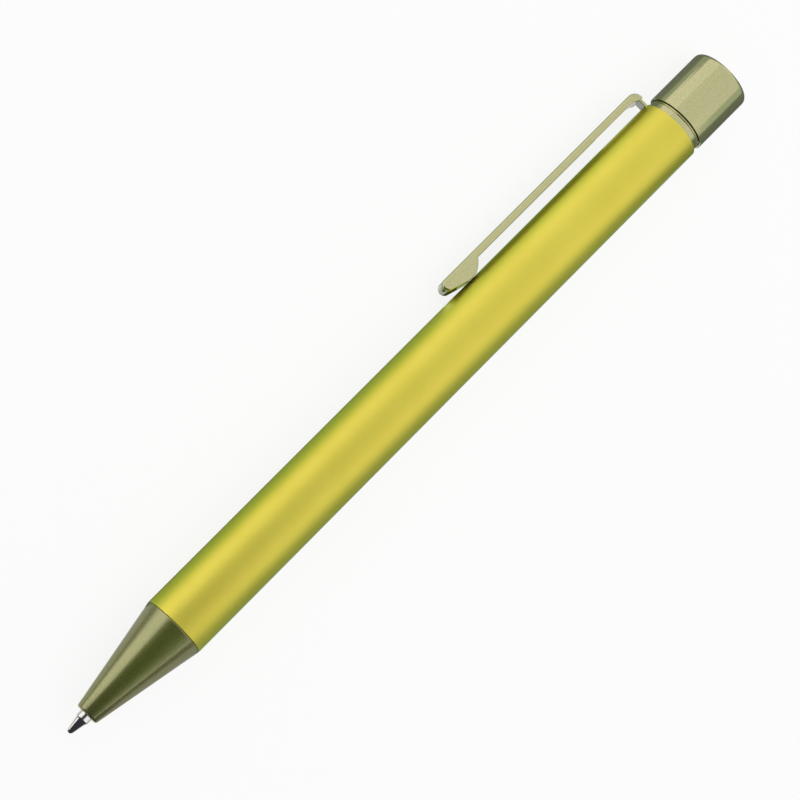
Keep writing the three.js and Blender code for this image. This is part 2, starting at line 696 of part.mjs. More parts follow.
const laid = new THREE.Group();
laid.add(
  barrel,
  refill,
  button,
  mesh("nose_cone", noseCone(), OLIVE_DARK),
  mesh("clip", clip(), OLIVE_LIGHT),
  mesh("cam_rotor", camRotor(), WHITE_PLASTIC),
  mesh("return_spring", returnSpring(), STEEL),
);

// The pen lies on its barrel and on one long edge of its clip. Seen from the axis, that edge's rounded
// corner and the point straight below are as far apart as the tangent line through both asks.
const cornerOut = clipOuter - CLIP_EDGE_RADIUS;
const cornerAcross = CLIP_WIDTH / 2 - CLIP_EDGE_RADIUS;
const toCorner = Math.acos((barrelRadius - CLIP_EDGE_RADIUS) / Math.hypot(cornerOut, cornerAcross));
const roll = toCorner + Math.atan2(cornerAcross, cornerOut);
const clipWay = new THREE.Vector3(0, -Math.sin(roll), -Math.cos(roll));
const buttonWay = new THREE.Vector3(-1, 0, 0);
const acrossWay = new THREE.Vector3().crossVectors(buttonWay, clipWay);
laid.applyMatrix4(new THREE.Matrix4().makeBasis(clipWay, acrossWay, buttonWay));

// The origin is on the table, under the middle of the pen's box.
const box = new THREE.Box3().setFromObject(laid, true);
laid.position.set(-(box.min.x + box.max.x) / 2, -(box.min.y + box.max.y) / 2, -box.min.z);

const pen = new THREE.Group();
pen.add(laid);

export default pen;
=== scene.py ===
"""A pushbutton ballpoint pen on a pale table: its finished surfaces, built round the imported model."""
import json
import math

import bmesh
import bpy
import numpy as np
from mathutils import Matrix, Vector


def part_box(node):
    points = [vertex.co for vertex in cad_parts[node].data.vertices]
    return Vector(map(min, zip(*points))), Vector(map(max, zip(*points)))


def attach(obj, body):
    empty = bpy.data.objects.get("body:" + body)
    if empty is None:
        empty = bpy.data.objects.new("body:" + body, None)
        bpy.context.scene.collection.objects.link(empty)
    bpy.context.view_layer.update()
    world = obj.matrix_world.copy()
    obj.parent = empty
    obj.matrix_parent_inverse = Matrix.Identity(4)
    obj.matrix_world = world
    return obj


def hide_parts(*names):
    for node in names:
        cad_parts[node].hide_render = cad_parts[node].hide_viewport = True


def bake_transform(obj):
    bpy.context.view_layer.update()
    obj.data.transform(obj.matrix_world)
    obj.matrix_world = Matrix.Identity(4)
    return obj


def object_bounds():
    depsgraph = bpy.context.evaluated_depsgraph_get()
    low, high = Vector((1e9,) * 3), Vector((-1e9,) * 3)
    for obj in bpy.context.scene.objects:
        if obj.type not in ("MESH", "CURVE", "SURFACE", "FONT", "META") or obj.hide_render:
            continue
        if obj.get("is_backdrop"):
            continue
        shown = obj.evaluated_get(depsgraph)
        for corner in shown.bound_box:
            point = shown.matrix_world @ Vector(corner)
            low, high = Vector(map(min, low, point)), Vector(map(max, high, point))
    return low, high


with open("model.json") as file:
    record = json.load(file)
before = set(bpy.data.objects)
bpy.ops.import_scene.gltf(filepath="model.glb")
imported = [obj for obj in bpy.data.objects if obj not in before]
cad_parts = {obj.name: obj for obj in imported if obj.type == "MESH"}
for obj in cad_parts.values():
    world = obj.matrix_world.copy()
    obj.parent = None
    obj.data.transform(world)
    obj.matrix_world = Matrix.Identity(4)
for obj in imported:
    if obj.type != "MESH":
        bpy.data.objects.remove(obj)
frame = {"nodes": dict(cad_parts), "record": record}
cad_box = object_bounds()

# The pen's axis
# The pen lies along X with its writing point towards +X, on its barrel and one edge of its clip. A place on
# it is a station and a radius in mm, and an angle. Stations run from the nose cone's front to the button.
MM = 0.001
barrel_low, barrel_high = (np.array(corner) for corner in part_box("barrel_tube"))
axis_start = (barrel_low + barrel_high) / 2
axis_start[0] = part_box("nose_cone")[1].x
button_way = np.array([-1.0, 0.0, 0.0])
clip_mount = next(mount for mount in frame["record"]["mounts"] if mount["name"] == "clip_face")
clip_way = np.array(clip_mount["axis"], float)
across_way = np.cross(button_way, clip_way)


def on_pen(station, radius, angle):
    """Places in metres: along the axis by the station, then out by the radius, at an angle that is counted
    from the clip towards the side that the camera looks at."""
    station, radius, angle = np.broadcast_arrays(station, radius, angle)
    outwards = np.cos(angle)[..., None] * clip_way + np.sin(angle)[..., None] * across_way
    return axis_start + MM * (station[..., None] * button_way + radius[..., None] * outwards)


# The camera
# It looks down on the side of the pen, and a little along it towards the button, from 0.42 m away. The
# pen runs from the lower left corner of the picture, where its point is, to the upper right.
FOCAL_LENGTH_MM = 132.75
SENSOR_MM = 36
CAMERA_DISTANCE = 422.7
AIM_STATION = 63.05
AIM_OFFSET = -0.016
LEAN = math.radians(11.6)
PEN_SLOPE = math.radians(45.1)


def photograph_camera():
    """The view is the side's inward normal, turned by the lean towards the button. The picture's right and
    up are the two directions across that view, turned by the pen's slope in the picture."""
    view_way = math.sin(LEAN) * button_way - math.cos(LEAN) * across_way
    along = math.cos(LEAN) * button_way + math.sin(LEAN) * across_way
    right = math.cos(PEN_SLOPE) * along - math.sin(PEN_SLOPE) * clip_way
    up = math.sin(PEN_SLOPE) * along + math.cos(PEN_SLOPE) * clip_way
    place = on_pen(AIM_STATION, AIM_OFFSET, 0.0) - MM * CAMERA_DISTANCE * view_way
    camera = bpy.data.objects.new("camera", bpy.data.cameras.new("camera"))
    camera.data.lens = FOCAL_LENGTH_MM
    camera.data.sensor_width = SENSOR_MM
    camera.data.clip_start = 0.01
    facing = Matrix(np.column_stack([right, up, -view_way]).tolist()).to_4x4()
    camera.matrix_world = Matrix.Translation(place.tolist()) @ facing
    bpy.context.scene.collection.objects.link(camera)
    bpy.context.scene.camera = camera


photograph_camera()

# Barrel tube
# A drawn aluminium tube, etched satin and anodised a yellow green. A notch is milled into its rear edge,
# where the clip's leg goes in.
BARREL_FRONT = 17.28
BARREL_REAR = 120.33
BARREL_RADIUS = 5.0
BARREL_BORE = 4.3
BARREL_EDGE = 0.08
NOTCH_FRONT = 119.63
NOTCH_WIDTH = 3.0
CUT_ROOM = 1.0  # how far a cutter stands out of what it cuts
HOLD = 0.03  # how far from a rounding a long line is held straight
ROUNDING_STEPS = 6  # steps of the arc at each corner of an outline
SHARP_ANGLE = math.radians(35)  # edges that turn more than this stay sharp
MERGE_DISTANCE = 1e-7  # in metres: mesh points that are closer are one
NEARLY_ZERO = 1e-6
LIME = "#F1DE60"
LIME_DEEP = "#E8D454"
LIME_GRAZING = "#C8FFB8"
LIME_FILM = "#EEF8D8"
ETCH_GRAIN = 0.12  # the real etched grain is 0.03 mm, too fine to show
DYE_CLOUD = 6.0


def rounded(corners, steps=ROUNDING_STEPS):
    """An outline whose corners are rounded. Each corner is (radius, station, rounding): its arc's centre
    lies on the corner's bisector, a rounding from both sides, and the arc turns evenly between them."""
    corners = np.array(corners, float)
    place, rounding = corners[:, :2], corners[:, 2:]
    back = np.roll(place, 1, axis=0) - place
    ahead = np.roll(place, -1, axis=0) - place
    back /= np.linalg.norm(back, axis=1, keepdims=True)
    ahead /= np.linalg.norm(ahead, axis=1, keepdims=True)
    half = np.arccos(np.clip((back * ahead).sum(axis=1, keepdims=True), -1, 1)) / 2
    inwards = (back + ahead) / np.maximum(2 * np.cos(half), NEARLY_ZERO)
    centre = place + inwards * rounding / np.sin(half)
    first = place + back * rounding / np.tan(half) - centre
    last = place + ahead * rounding / np.tan(half) - centre
    sweep = np.maximum(math.pi - 2 * half, NEARLY_ZERO)[:, None]
    share = np.linspace(0, 1, steps + 1)[None, :, None]
    turning = np.sin((1 - share) * sweep) * first[:, None] + np.sin(share * sweep) * last[:, None]
    return (centre[:, None] + turning / np.sin(sweep)).reshape(-1, 2)


def held(outline, hold=HOLD):
    """The outline without doubled points, and with two more points on each line longer than four holds, a
    hold away from its ends. Smooth shading then bends the light only at the roundings."""
    points = []
    for place, following in zip(outline, np.roll(outline, -1, axis=0)):
        length = np.linalg.norm(following - place)
        if length > NEARLY_ZERO:
            points.append(place)
        if length > 4 * hold:
            step = (following - place) * hold / length
            points += [place + step, following - step]
    return np.array(points)


def piece_from_mesh(name, mesh):
    """Merges what falls together, turns the faces outwards, and shades all but the sharp edges smooth."""
    shell = bmesh.new()
    shell.from_mesh(mesh)
    bmesh.ops.remove_doubles(shell, verts=shell.verts, dist=MERGE_DISTANCE)
    bmesh.ops.recalc_face_normals(shell, faces=shell.faces)
    shell.to_mesh(mesh)
    shell.free()
    mesh.shade_smooth()
    mesh.set_sharp_from_angle(angle=SHARP_ANGLE)
    piece = bpy.data.objects.new(name, mesh)
    bpy.context.scene.collection.objects.link(piece)
    return piece


def piece_from_grid(name, grid, close_rows=True):
    """A piece through a grid of places: four neighbours make a face, the columns go round, and the rows too
    where they close. A row whose places fall together becomes a pole."""
    rows, columns = grid.shape[:2]
    row = np.arange(rows if close_rows else rows - 1)[:, None]
    column = np.arange(columns)[None, :]
    next_row, next_column = (row + 1) % rows, (column + 1) % columns
    corners = [row * columns + column, row * columns + next_column]
    corners += [next_row * columns + next_column, next_row * columns + column]
    mesh = bpy.data.meshes.new(name)
    mesh.from_pydata(grid.reshape(-1, 3), [], np.stack(corners, axis=-1).reshape(-1, 4))
    return piece_from_mesh(name, mesh)


def turned(name, outline, segments=128, relief=None):
    """A turned piece: an outline of (radius, station) goes round the axis. It closes on itself, or in two
    poles where it starts and ends on the axis. A relief is a formula that changes the radii."""
    outline = np.array(outline, float)
    poles = outline[0, 0] == 0 and outline[-1, 0] == 0
    first, last = outline[:1], outline[-1:]
    outline = held(outline)
    if poles:
        outline = np.concatenate([first, outline[outline[:, 0] > 0], last])
    angle = np.linspace(0, 2 * math.pi, segments, endpoint=False)[None, :]
    radius, station = outline[:, :1], outline[:, 1:]
    grid = on_pen(station, relief(radius, station, angle) if relief else radius, angle)
    return piece_from_grid(name, grid, close_rows=not poles)


def piece_from_rings(name, grid):
    """A piece through rings of places: each two neighbours are joined, and the two end rings are faces."""
    count = grid.shape[1]
    corner = np.arange(count)
    following = (corner + 1) % count
    row = count * np.arange(len(grid) - 1)[:, None]
    sides = [row + corner, row + following, row + count + following, row + count + corner]
    sides = np.stack(sides, axis=-1).reshape(-1, 4).tolist()
    mesh = bpy.data.meshes.new(name)
    ends = [corner.tolist(), (corner + count * (len(grid) - 1)).tolist()]
    mesh.from_pydata(grid.reshape(-1, 3).tolist(), [], ends + sides)
    return piece_from_mesh(name, mesh)


def plate(name, outline, width):
    """A flat plate on the clip's side: an outline of (radius, station), as thick as the width, half of it
    on each side of the pen's middle plane."""
    outline = held(np.array(outline, float))
    middle = on_pen(outline[:, 1], outline[:, 0], 0.0)
    half = MM * width / 2 * across_way
    return piece_from_rings(name, np.stack([middle - half, middle + half]))


def apply_modifiers(piece):
    """The piece's modifiers become part of its mesh."""
    seen = piece.evaluated_get(bpy.context.evaluated_depsgraph_get())
    finished = bpy.data.meshes.new_from_object(seen)
    piece.modifiers.clear()
    piece.data = finished


def combine(piece, other, operation):
    """Cuts the other piece out of this one, or joins it on, and takes the other one away."""
    boolean = piece.modifiers.new("boolean", "BOOLEAN")
    boolean.operation = operation
    boolean.solver = "EXACT"
    boolean.object = other
    apply_modifiers(piece)
    bpy.data.objects.remove(other)
    piece.data.set_sharp_from_angle(angle=SHARP_ANGLE)


def tube_outline(bore, radius, front, rear, edge):
    """The outline of a plain tube, with its outer edges rounded."""
    return rounded([(bore, front, 0), (radius, front, edge), (radius, rear, edge), (bore, rear, 0)])


def rectangle(front, rear, inner, outer):
    """The outline of a block between two stations and two radii."""
    return [(inner, front), (inner, rear), (outer, rear), (outer, front)]


def colour(hex_code):
    """A hex sRGB colour as linear RGBA: each channel c is c / 12.92 up to 0.04045, and above that
    ((c + 0.055) / 1.055) to the power 2.4."""
    channels = np.array([int(hex_code[i : i + 2], 16) / 255 for i in (1, 3, 5)])
    linear = np.where(channels <= 0.04045, channels / 12.92, ((channels + 0.055) / 1.055) ** 2.4)
    return (*linear.tolist(), 1.0)


def add(tree, kind, inputs=None, **settings):
    """Adds a node: its settings by name, and for each input either a socket to link or a value."""
    node = tree.nodes.new(kind)
    for name, value in settings.items():
        setattr(node, name, value)
    for name, value in (inputs or {}).items():
        if isinstance(value, bpy.types.NodeSocket):
            tree.links.new(value, node.inputs[name])
        else:
            node.inputs[name].default_value = value
    return node


def new_finish(name):
    """A material with an empty node tree."""
    material = bpy.data.materials.new(name)
    material.use_nodes = True
    material.node_tree.nodes.clear()
    return material, material.node_tree


def show(tree, shader):
    """Links a shader to the material's output."""
    tree.links.new(shader, add(tree, "ShaderNodeOutputMaterial").inputs["Surface"])


def per_mm(size):
    """The texture scale whose pattern is this many mm in size, on coordinates in metres."""
    return 1 / (MM * size)


def satin_anodised_aluminium():
    """Etched and anodised aluminium: a metal under a clear dyed film. It gives the eye a soft broad sheen,
    a grain at the limit of sight, faint clouds in the dye, and a greener, darker tone at grazing angles."""
    material, tree = new_finish("satin_anodised_aluminium")
    place = add(tree, "ShaderNodeTexCoord").outputs["Object"]
    clouds = add(tree, "ShaderNodeTexNoise", {"Vector": place, "Scale": per_mm(DYE_CLOUD), "Detail": 3.0})
    grain = add(tree, "ShaderNodeTexNoise", {"Vector": place, "Scale": per_mm(ETCH_GRAIN), "Detail": 2.0})
    dye = add(
        tree,
        "ShaderNodeMix",
        {"Factor": clouds.outputs["Fac"], "A": colour(LIME_DEEP), "B": colour(LIME)},
        data_type="RGBA",
    )
    rough = add(tree, "ShaderNodeMapRange", {"Value": grain.outputs["Fac"], "To Min": 0.38, "To Max": 0.48})
    bump = add(tree, "ShaderNodeBump", {
        "Height": grain.outputs["Fac"], "Strength": 0.12, "Distance": MM * ETCH_GRAIN
    })
    shader = add(tree, "ShaderNodeBsdfPrincipled", {
        "Base Color": dye.outputs["Result"],
        "Metallic": 1.0,
        "Roughness": rough.outputs["Result"],
        "Specular Tint": colour(LIME_GRAZING),
        "Coat Weight": 0.6,
        "Coat Roughness": 0.3,
        "Coat IOR": 1.4,
        "Coat Tint": colour(LIME_FILM),
        "Normal": bump.outputs["Normal"],
    })
    show(tree, shader.outputs["BSDF"])
    return material


def finish_piece(piece, material, slot, body, *nodes):
    """Gives a piece its material, the body that it moves with and the solids that it stands for."""
    piece.data.materials.clear()
    piece.data.materials.append(material)
    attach(piece, body)
    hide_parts(*nodes)


def barrel():
    """A tube with a rectangular notch cut through its wall on the clip's side."""
    outline = tube_outline(BARREL_BORE, BARREL_RADIUS, BARREL_FRONT, BARREL_REAR, BARREL_EDGE)
    tube = turned("barrel", outline, segments=192)
    notch = rectangle(NOTCH_FRONT, BARREL_REAR + CUT_ROOM, BARREL_BORE - CUT_ROOM, BARREL_RADIUS + CUT_ROOM)
    combine(tube, plate("notch", notch, NOTCH_WIDTH), "DIFFERENCE")
    return tube


finish_piece(barrel(), satin_anodised_aluminium(), "lime_anodised", "barrel", "barrel_tube")

# Front bushing
# A short brass bush, turned on a lathe and pressed into the barrel's front end. It is threaded inside, and
# the nose cone screws into it.
BUSHING_FRONT = 17.6
BUSHING_REAR = 27.0
BUSHING_RADIUS = 4.25
BUSHING_BORE = 3.85
BUSHING_EDGE = 0.08
BUSHING_THREAD_ROOT = 4.1
THREAD_PITCH = 0.75
THREAD_STEPS = 10  # outline points to each turn of the thread
BRASS = "#CBAA5C"
BRASS_WORN = "#B8924A"
TOOL_LINE = 0.1  # the real feed marks are 0.04 mm apart, too fine to show
MOTTLE = 0.8
WAVE_PERIOD = 2 * math.pi / 20  # what one band of a wave texture measures at scale 1


def thread(crest, root, front, rear):
    """A screw thread as a relief: a triangle wave of the station less the share of a turn takes the radius
    from crest to root, and runs out over one pitch at each end."""

    def relief(radius, station, angle):
        turns = (station - front) / THREAD_PITCH - angle / (2 * math.pi)
        wave = np.abs(2 * (turns - np.floor(turns)) - 1)
        run_out = np.clip(np.minimum(station - front, rear - station) / THREAD_PITCH, 0, 1)
        return radius + np.where(radius == crest, (root - crest) * wave * run_out, 0.0)

    return relief


def thread_line(crest, front, rear):
    """The stretch of an outline that a thread is cut into, from front to rear."""
    count = round(THREAD_STEPS * abs(rear - front) / THREAD_PITCH)
    return np.stack([np.full(count, crest), np.linspace(front, rear, count)], axis=-1)


def bush():
    """A tube whose bore is threaded from end to end."""
    outside = tube_outline(BUSHING_BORE, BUSHING_RADIUS, BUSHING_FRONT, BUSHING_REAR, BUSHING_EDGE)
    line = thread_line(BUSHING_BORE, BUSHING_REAR, BUSHING_FRONT)
    cut = thread(BUSHING_BORE, BUSHING_THREAD_ROOT, BUSHING_FRONT, BUSHING_REAR)
    return turned("front_bush", np.concatenate([outside, line[1:-1]]), segments=96, relief=cut)


def uneven(tree, factor, first, second, smoothest, roughest):
    """A colour and a roughness that change together, by the factor, from their first to their second."""
    tone = add(
        tree, "ShaderNodeMix", {"Factor": factor, "A": colour(first), "B": colour(second)}, data_type="RGBA"
    )
    rough = add(tree, "ShaderNodeMapRange", {"Value": factor, "To Min": smoothest, "To Max": roughest})
    return tone.outputs["Result"], rough.outputs["Result"]


def turned_metal(name, light, dark, roughness, marks=0.15):
    """A metal turned on a lathe: fine rings round the axis, from the tool's feed, and a faint mottling. It
    gives the eye a bright line along the piece that the rings, as strong as the marks, spread sideways."""
    material, tree = new_finish(name)
    place = add(tree, "ShaderNodeTexCoord").outputs["Object"]
    rings = add(
        tree,
        "ShaderNodeTexWave",
        {"Vector": place, "Scale": WAVE_PERIOD * per_mm(TOOL_LINE), "Distortion": 0.6},
        bands_direction="X",
    )
    mottle = add(tree, "ShaderNodeTexNoise", {"Vector": place, "Scale": per_mm(MOTTLE), "Detail": 4.0})
    tone, rough = uneven(tree, mottle.outputs["Fac"], dark, light, roughness * 0.8, roughness * 1.2)
    bump = add(tree, "ShaderNodeBump", {
        "Height": rings.outputs["Fac"], "Strength": marks, "Distance": MM * TOOL_LINE / 4
    })
    shader = add(tree, "ShaderNodeBsdfPrincipled", {
        "Base Color": tone, "Metallic": 1.0, "Roughness": rough, "Normal": bump.outputs["Normal"]
    })
    show(tree, shader.outputs["BSDF"])
    return material


brass = turned_metal("turned_brass", BRASS, BRASS_WORN, roughness=0.28)
finish_piece(bush(), brass, "brass", "barrel", "front_bushing")

# Rear sleeve
# A lacquered metal sleeve, pressed into the barrel's rear end. Its collar stands out of the barrel with a
# fine groove round it, and the button slides over it. A slot lets the clip's tang through its wall.
SLEEVE_FRONT = 105.98
SLEEVE_RADIUS = 4.25
SLEEVE_BORE = 3.65
COLLAR_FRONT = 120.36
COLLAR_REAR = 129.48
COLLAR_RADIUS = 4.6
COLLAR_EDGE = 0.08
GROOVE_STATION = 121.38
GROOVE_DEPTH = 0.1
UNDERCUT_FRONT = 121.64
UNDERCUT_REAR = 122.2
UNDERCUT_RADIUS = 4.3
UNDERCUT_EDGE = 0.03
SLOT_FRONT = 117.48
OLIVE_LIGHT = "#B8B681"
OLIVE_LIGHT_FLAKE = "#C6C492"
LACQUER_GRAZING = "#B8BCAE"
FLAKE = 0.12  # the real flakes are 0.04 mm across, too fine to show
LACQUER_WAVE = 1.6


def metallic_lacquer(name, base, flake, roughness):
    """Metallic lacquer, sprayed and baked: aluminium flakes in a tinted coat under a clear one. It gives
    the eye a fine sparkle, a darker, greener tone away from the light, and sharp reflections on top."""
    material, tree = new_finish(name)
    place = add(tree, "ShaderNodeTexCoord").outputs["Object"]
    flakes = add(tree, "ShaderNodeTexVoronoi", {"Vector": place, "Scale": per_mm(FLAKE)})
    tilt = add(tree, "ShaderNodeSeparateColor", {"Color": flakes.outputs["Color"]})
    tone = add(
        tree,
        "ShaderNodeMix",
        {"Factor": tilt.outputs["Red"], "A": colour(base), "B": colour(flake)},
        data_type="RGBA",
    )
    rough = add(tree, "ShaderNodeMapRange", {
        "Value": tilt.outputs["Green"], "To Min": roughness - 0.02, "To Max": roughness + 0.02
    })
    sparkle = add(tree, "ShaderNodeBump", {
        "Height": tilt.outputs["Blue"], "Strength": 0.02, "Distance": MM * FLAKE / 4
    })
    waves = add(tree, "ShaderNodeTexNoise", {"Vector": place, "Scale": per_mm(LACQUER_WAVE)})
    flow = add(tree, "ShaderNodeBump", {
        "Height": waves.outputs["Fac"], "Strength": 0.04, "Distance": MM * LACQUER_WAVE / 10
    })
    shader = add(tree, "ShaderNodeBsdfPrincipled", {
        "Base Color": tone.outputs["Result"],
        "Metallic": 0.95,
        "Roughness": rough.outputs["Result"],
        "Specular Tint": colour(LACQUER_GRAZING),
        "Normal": sparkle.outputs["Normal"],
        "Coat Weight": 0.8,
        "Coat Roughness": 0.05,
        "Coat Normal": flow.outputs["Normal"],
    })
    show(tree, shader.outputs["BSDF"])
    return material


def sleeve():
    """A stepped tube: the thin part is inside the barrel, and the collar has a V groove in it, and behind
    that the undercut that the button's rim stands over."""
    outline = rounded([
        (SLEEVE_BORE, SLEEVE_FRONT, 0),
        (SLEEVE_RADIUS, SLEEVE_FRONT, COLLAR_EDGE),
        (SLEEVE_RADIUS, COLLAR_FRONT, 0),
        (COLLAR_RADIUS, COLLAR_FRONT, COLLAR_EDGE),
        (COLLAR_RADIUS, GROOVE_STATION - GROOVE_DEPTH, 0),
        (COLLAR_RADIUS - GROOVE_DEPTH, GROOVE_STATION, 0),
        (COLLAR_RADIUS, GROOVE_STATION + GROOVE_DEPTH, 0),
        (COLLAR_RADIUS, UNDERCUT_FRONT, UNDERCUT_EDGE),
        (UNDERCUT_RADIUS, UNDERCUT_FRONT, 0),
        (UNDERCUT_RADIUS, UNDERCUT_REAR, 0),
        (COLLAR_RADIUS, UNDERCUT_REAR, UNDERCUT_EDGE),
        (COLLAR_RADIUS, COLLAR_REAR, COLLAR_EDGE),
        (SLEEVE_BORE, COLLAR_REAR, COLLAR_EDGE),
    ])
    tube = turned("rear_sleeve", outline, segments=160)
    slot = rectangle(SLOT_FRONT, COLLAR_FRONT, SLEEVE_BORE - CUT_ROOM, SLEEVE_RADIUS + CUT_ROOM)
    combine(tube, plate("slot", slot, NOTCH_WIDTH), "DIFFERENCE")
    return tube


light_lacquer = metallic_lacquer("light_olive_lacquer", OLIVE_LIGHT, OLIVE_LIGHT_FLAKE, roughness=0.15)
finish_piece(sleeve(), light_lacquer, "olive_light", "barrel", "neck_sleeve")

# Cam guide, turning cam and plunger
# The click mechanism, moulded in acetal: a black guide with lugs inside, a white cam that turns on the
# refill's end, and a black toothed plunger that the button is pressed on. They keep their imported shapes.
ACETAL_BLACK = "#26282A"
ACETAL_BLACK_WORN = "#34373A"
ACETAL_WHITE = "#E2E2DB"
ACETAL_WHITE_WORN = "#D4D3C9"
MOULD_GRAIN = 0.15
RUBBED = 2.5


def moulded_acetal(name, base, worn):
    """Moulded acetal: a waxy plastic with a fine spark-eroded grain. It gives the eye a soft broad sheen, a
    little duller where the pieces rub."""
    material, tree = new_finish(name)
    place = add(tree, "ShaderNodeTexCoord").outputs["Object"]
    grain = add(tree, "ShaderNodeTexNoise", {"Vector": place, "Scale": per_mm(MOULD_GRAIN), "Detail": 3.0})
    rubbed = add(tree, "ShaderNodeTexNoise", {"Vector": place, "Scale": per_mm(RUBBED), "Detail": 2.0})
    tone, rough = uneven(tree, rubbed.outputs["Fac"], base, worn, 0.38, 0.55)
    bump = add(tree, "ShaderNodeBump", {
        "Height": grain.outputs["Fac"], "Strength": 0.15, "Distance": MM * MOULD_GRAIN / 2
    })
    shader = add(tree, "ShaderNodeBsdfPrincipled", {
        "Base Color": tone, "Roughness": rough, "IOR": 1.48, "Normal": bump.outputs["Normal"]
    })
    show(tree, shader.outputs["BSDF"])
    return material


black_acetal = moulded_acetal("black_acetal", ACETAL_BLACK, ACETAL_BLACK_WORN)
white_acetal = moulded_acetal("white_acetal", ACETAL_WHITE, ACETAL_WHITE_WORN)
for node_name, material in (
    ("cam_guide", black_acetal),
    ("plunger", black_acetal),
    ("cam_rotor", white_acetal),
):
    frame["nodes"][node_name].material_slots[0].material = material

# Refill tube and neck
# A thin tube of drawn steel, and a turned brass neck that plugs its front end. The neck's flange is the
# shoulder that the return spring pushes on, and its bore holds the stem of the writing point.
TUBE_FRONT = 18.13
TUBE_REAR = 90.47
TUBE_RADIUS = 2.95
TUBE_BORE = 2.75
TUBE_EDGE = 0.06
NECK_FRONT = 5.03
NECK_RADIUS = 1.5
NECK_BORE = 0.8
NECK_EDGE = 0.12
FLANGE_FRONT = 17.5
FLANGE_REAR = 18.1
FLANGE_EDGE = 0.08
PLUG_RADIUS = 2.7
PLUG_REAR = 22.13
STEEL = "#C9CBCD"
STEEL_DARK = "#B4B7BA"
DRAW_LINE = 0.15  # the real die lines are 0.03 mm apart, too fine to show
DRAW_STRETCH = 50  # how many times longer than wide a die line is


def drawn_steel(name, light, dark):
    """Bright drawn steel: long fine lines along the pen from the die, and a thin oil film. It gives the eye
    sharp streaks along the tube."""
    material, tree = new_finish(name)
    place = add(tree, "ShaderNodeTexCoord").outputs["Object"]
    stretched = add(tree, "ShaderNodeMapping", {"Vector": place, "Scale": (1 / DRAW_STRETCH, 1.0, 1.0)})
    lines = add(tree, "ShaderNodeTexNoise", {
        "Vector": stretched.outputs["Vector"], "Scale": per_mm(DRAW_LINE), "Detail": 3.0
    })
    tone, rough = uneven(tree, lines.outputs["Fac"], dark, light, 0.16, 0.28)
    bump = add(tree, "ShaderNodeBump", {
        "Height": lines.outputs["Fac"], "Strength": 0.1, "Distance": MM * DRAW_LINE / 4
    })
    shader = add(tree, "ShaderNodeBsdfPrincipled", {
        "Base Color": tone, "Metallic": 1.0, "Roughness": rough, "Normal": bump.outputs["Normal"]
    })
    show(tree, shader.outputs["BSDF"])
    return material


def refill_tube():
    """A thin tube with both ends just broken."""
    outline = tube_outline(TUBE_BORE, TUBE_RADIUS, TUBE_FRONT, TUBE_REAR, TUBE_EDGE)
    return turned("refill_steel_tube", outline)


def refill_neck():
    """A bored stem, its flange, and the plug behind it that is pressed into the tube."""
    outline = rounded([
        (NECK_BORE, NECK_FRONT, 0),
        (NECK_RADIUS, NECK_FRONT, NECK_EDGE),
        (NECK_RADIUS, FLANGE_FRONT, 0),
        (TUBE_RADIUS, FLANGE_FRONT, FLANGE_EDGE),
        (TUBE_RADIUS, FLANGE_REAR, FLANGE_EDGE),
        (PLUG_RADIUS, FLANGE_REAR, 0),
        (PLUG_RADIUS, PLUG_REAR, FLANGE_EDGE),
        (NECK_BORE, PLUG_REAR, 0),
    ])
    return turned("refill_brass_neck", outline)


steel = drawn_steel("drawn_steel", STEEL, STEEL_DARK)
finish_piece(refill_tube(), steel, "steel", "refill", "refill_tube")
finish_piece(refill_neck(), brass, "brass", "refill", "refill_neck")

# Ink and end cap
# The ink is a stiff blue paste that fills most of the tube. A white plastic cap with a vent hole closes the
# tube's rear end, and the turning cam pushes on it.
INK_FRONT = 22.16
INK_REAR = 77.17
INK_RADIUS = 2.65
INK_MENISCUS = 0.5
INK_FOLD = 1.5
INK_FOLD_HEIGHT = 0.05
INK_BLUE = "#141F5E"
CAP_FRONT = 86.47
CAP_SHOULDER = 90.5
CAP_REAR = 94.5
CAP_RADIUS = 2.6
CAP_PLUG_RADIUS = 2.7
CAP_CHAMFER = 0.6
CAP_VENT = 0.4
CAP_PLUG_EDGE = 0.2
CAP_EDGE = 0.1
CAP_VENT_EDGE = 0.05


def ink_column():
    """A full cylinder whose rear end is hollowed by the meniscus."""
    outline = rounded([
        (0, INK_FRONT, 0),
        (INK_RADIUS, INK_FRONT, 0),
        (INK_RADIUS, INK_REAR, 0),
        (INK_RADIUS / 2, INK_REAR - INK_MENISCUS, INK_RADIUS / 2),
        (0, INK_REAR - INK_MENISCUS, 0),
    ])
    return turned("ink_paste", outline, segments=64)


def end_cap():
    """A plug in the tube, a rim behind it with a chamfered end, and the vent through both."""
    outline = rounded([
        (CAP_VENT, CAP_FRONT, 0),
        (CAP_PLUG_RADIUS, CAP_FRONT, CAP_PLUG_EDGE),
        (CAP_PLUG_RADIUS, CAP_SHOULDER, 0),
        (CAP_RADIUS, CAP_SHOULDER, 0),
        (CAP_RADIUS, CAP_REAR - CAP_CHAMFER, CAP_EDGE),
        (CAP_RADIUS - CAP_CHAMFER, CAP_REAR, CAP_EDGE),
        (CAP_VENT, CAP_REAR, CAP_VENT_EDGE),
    ])
    return turned("refill_cap", outline, segments=96)


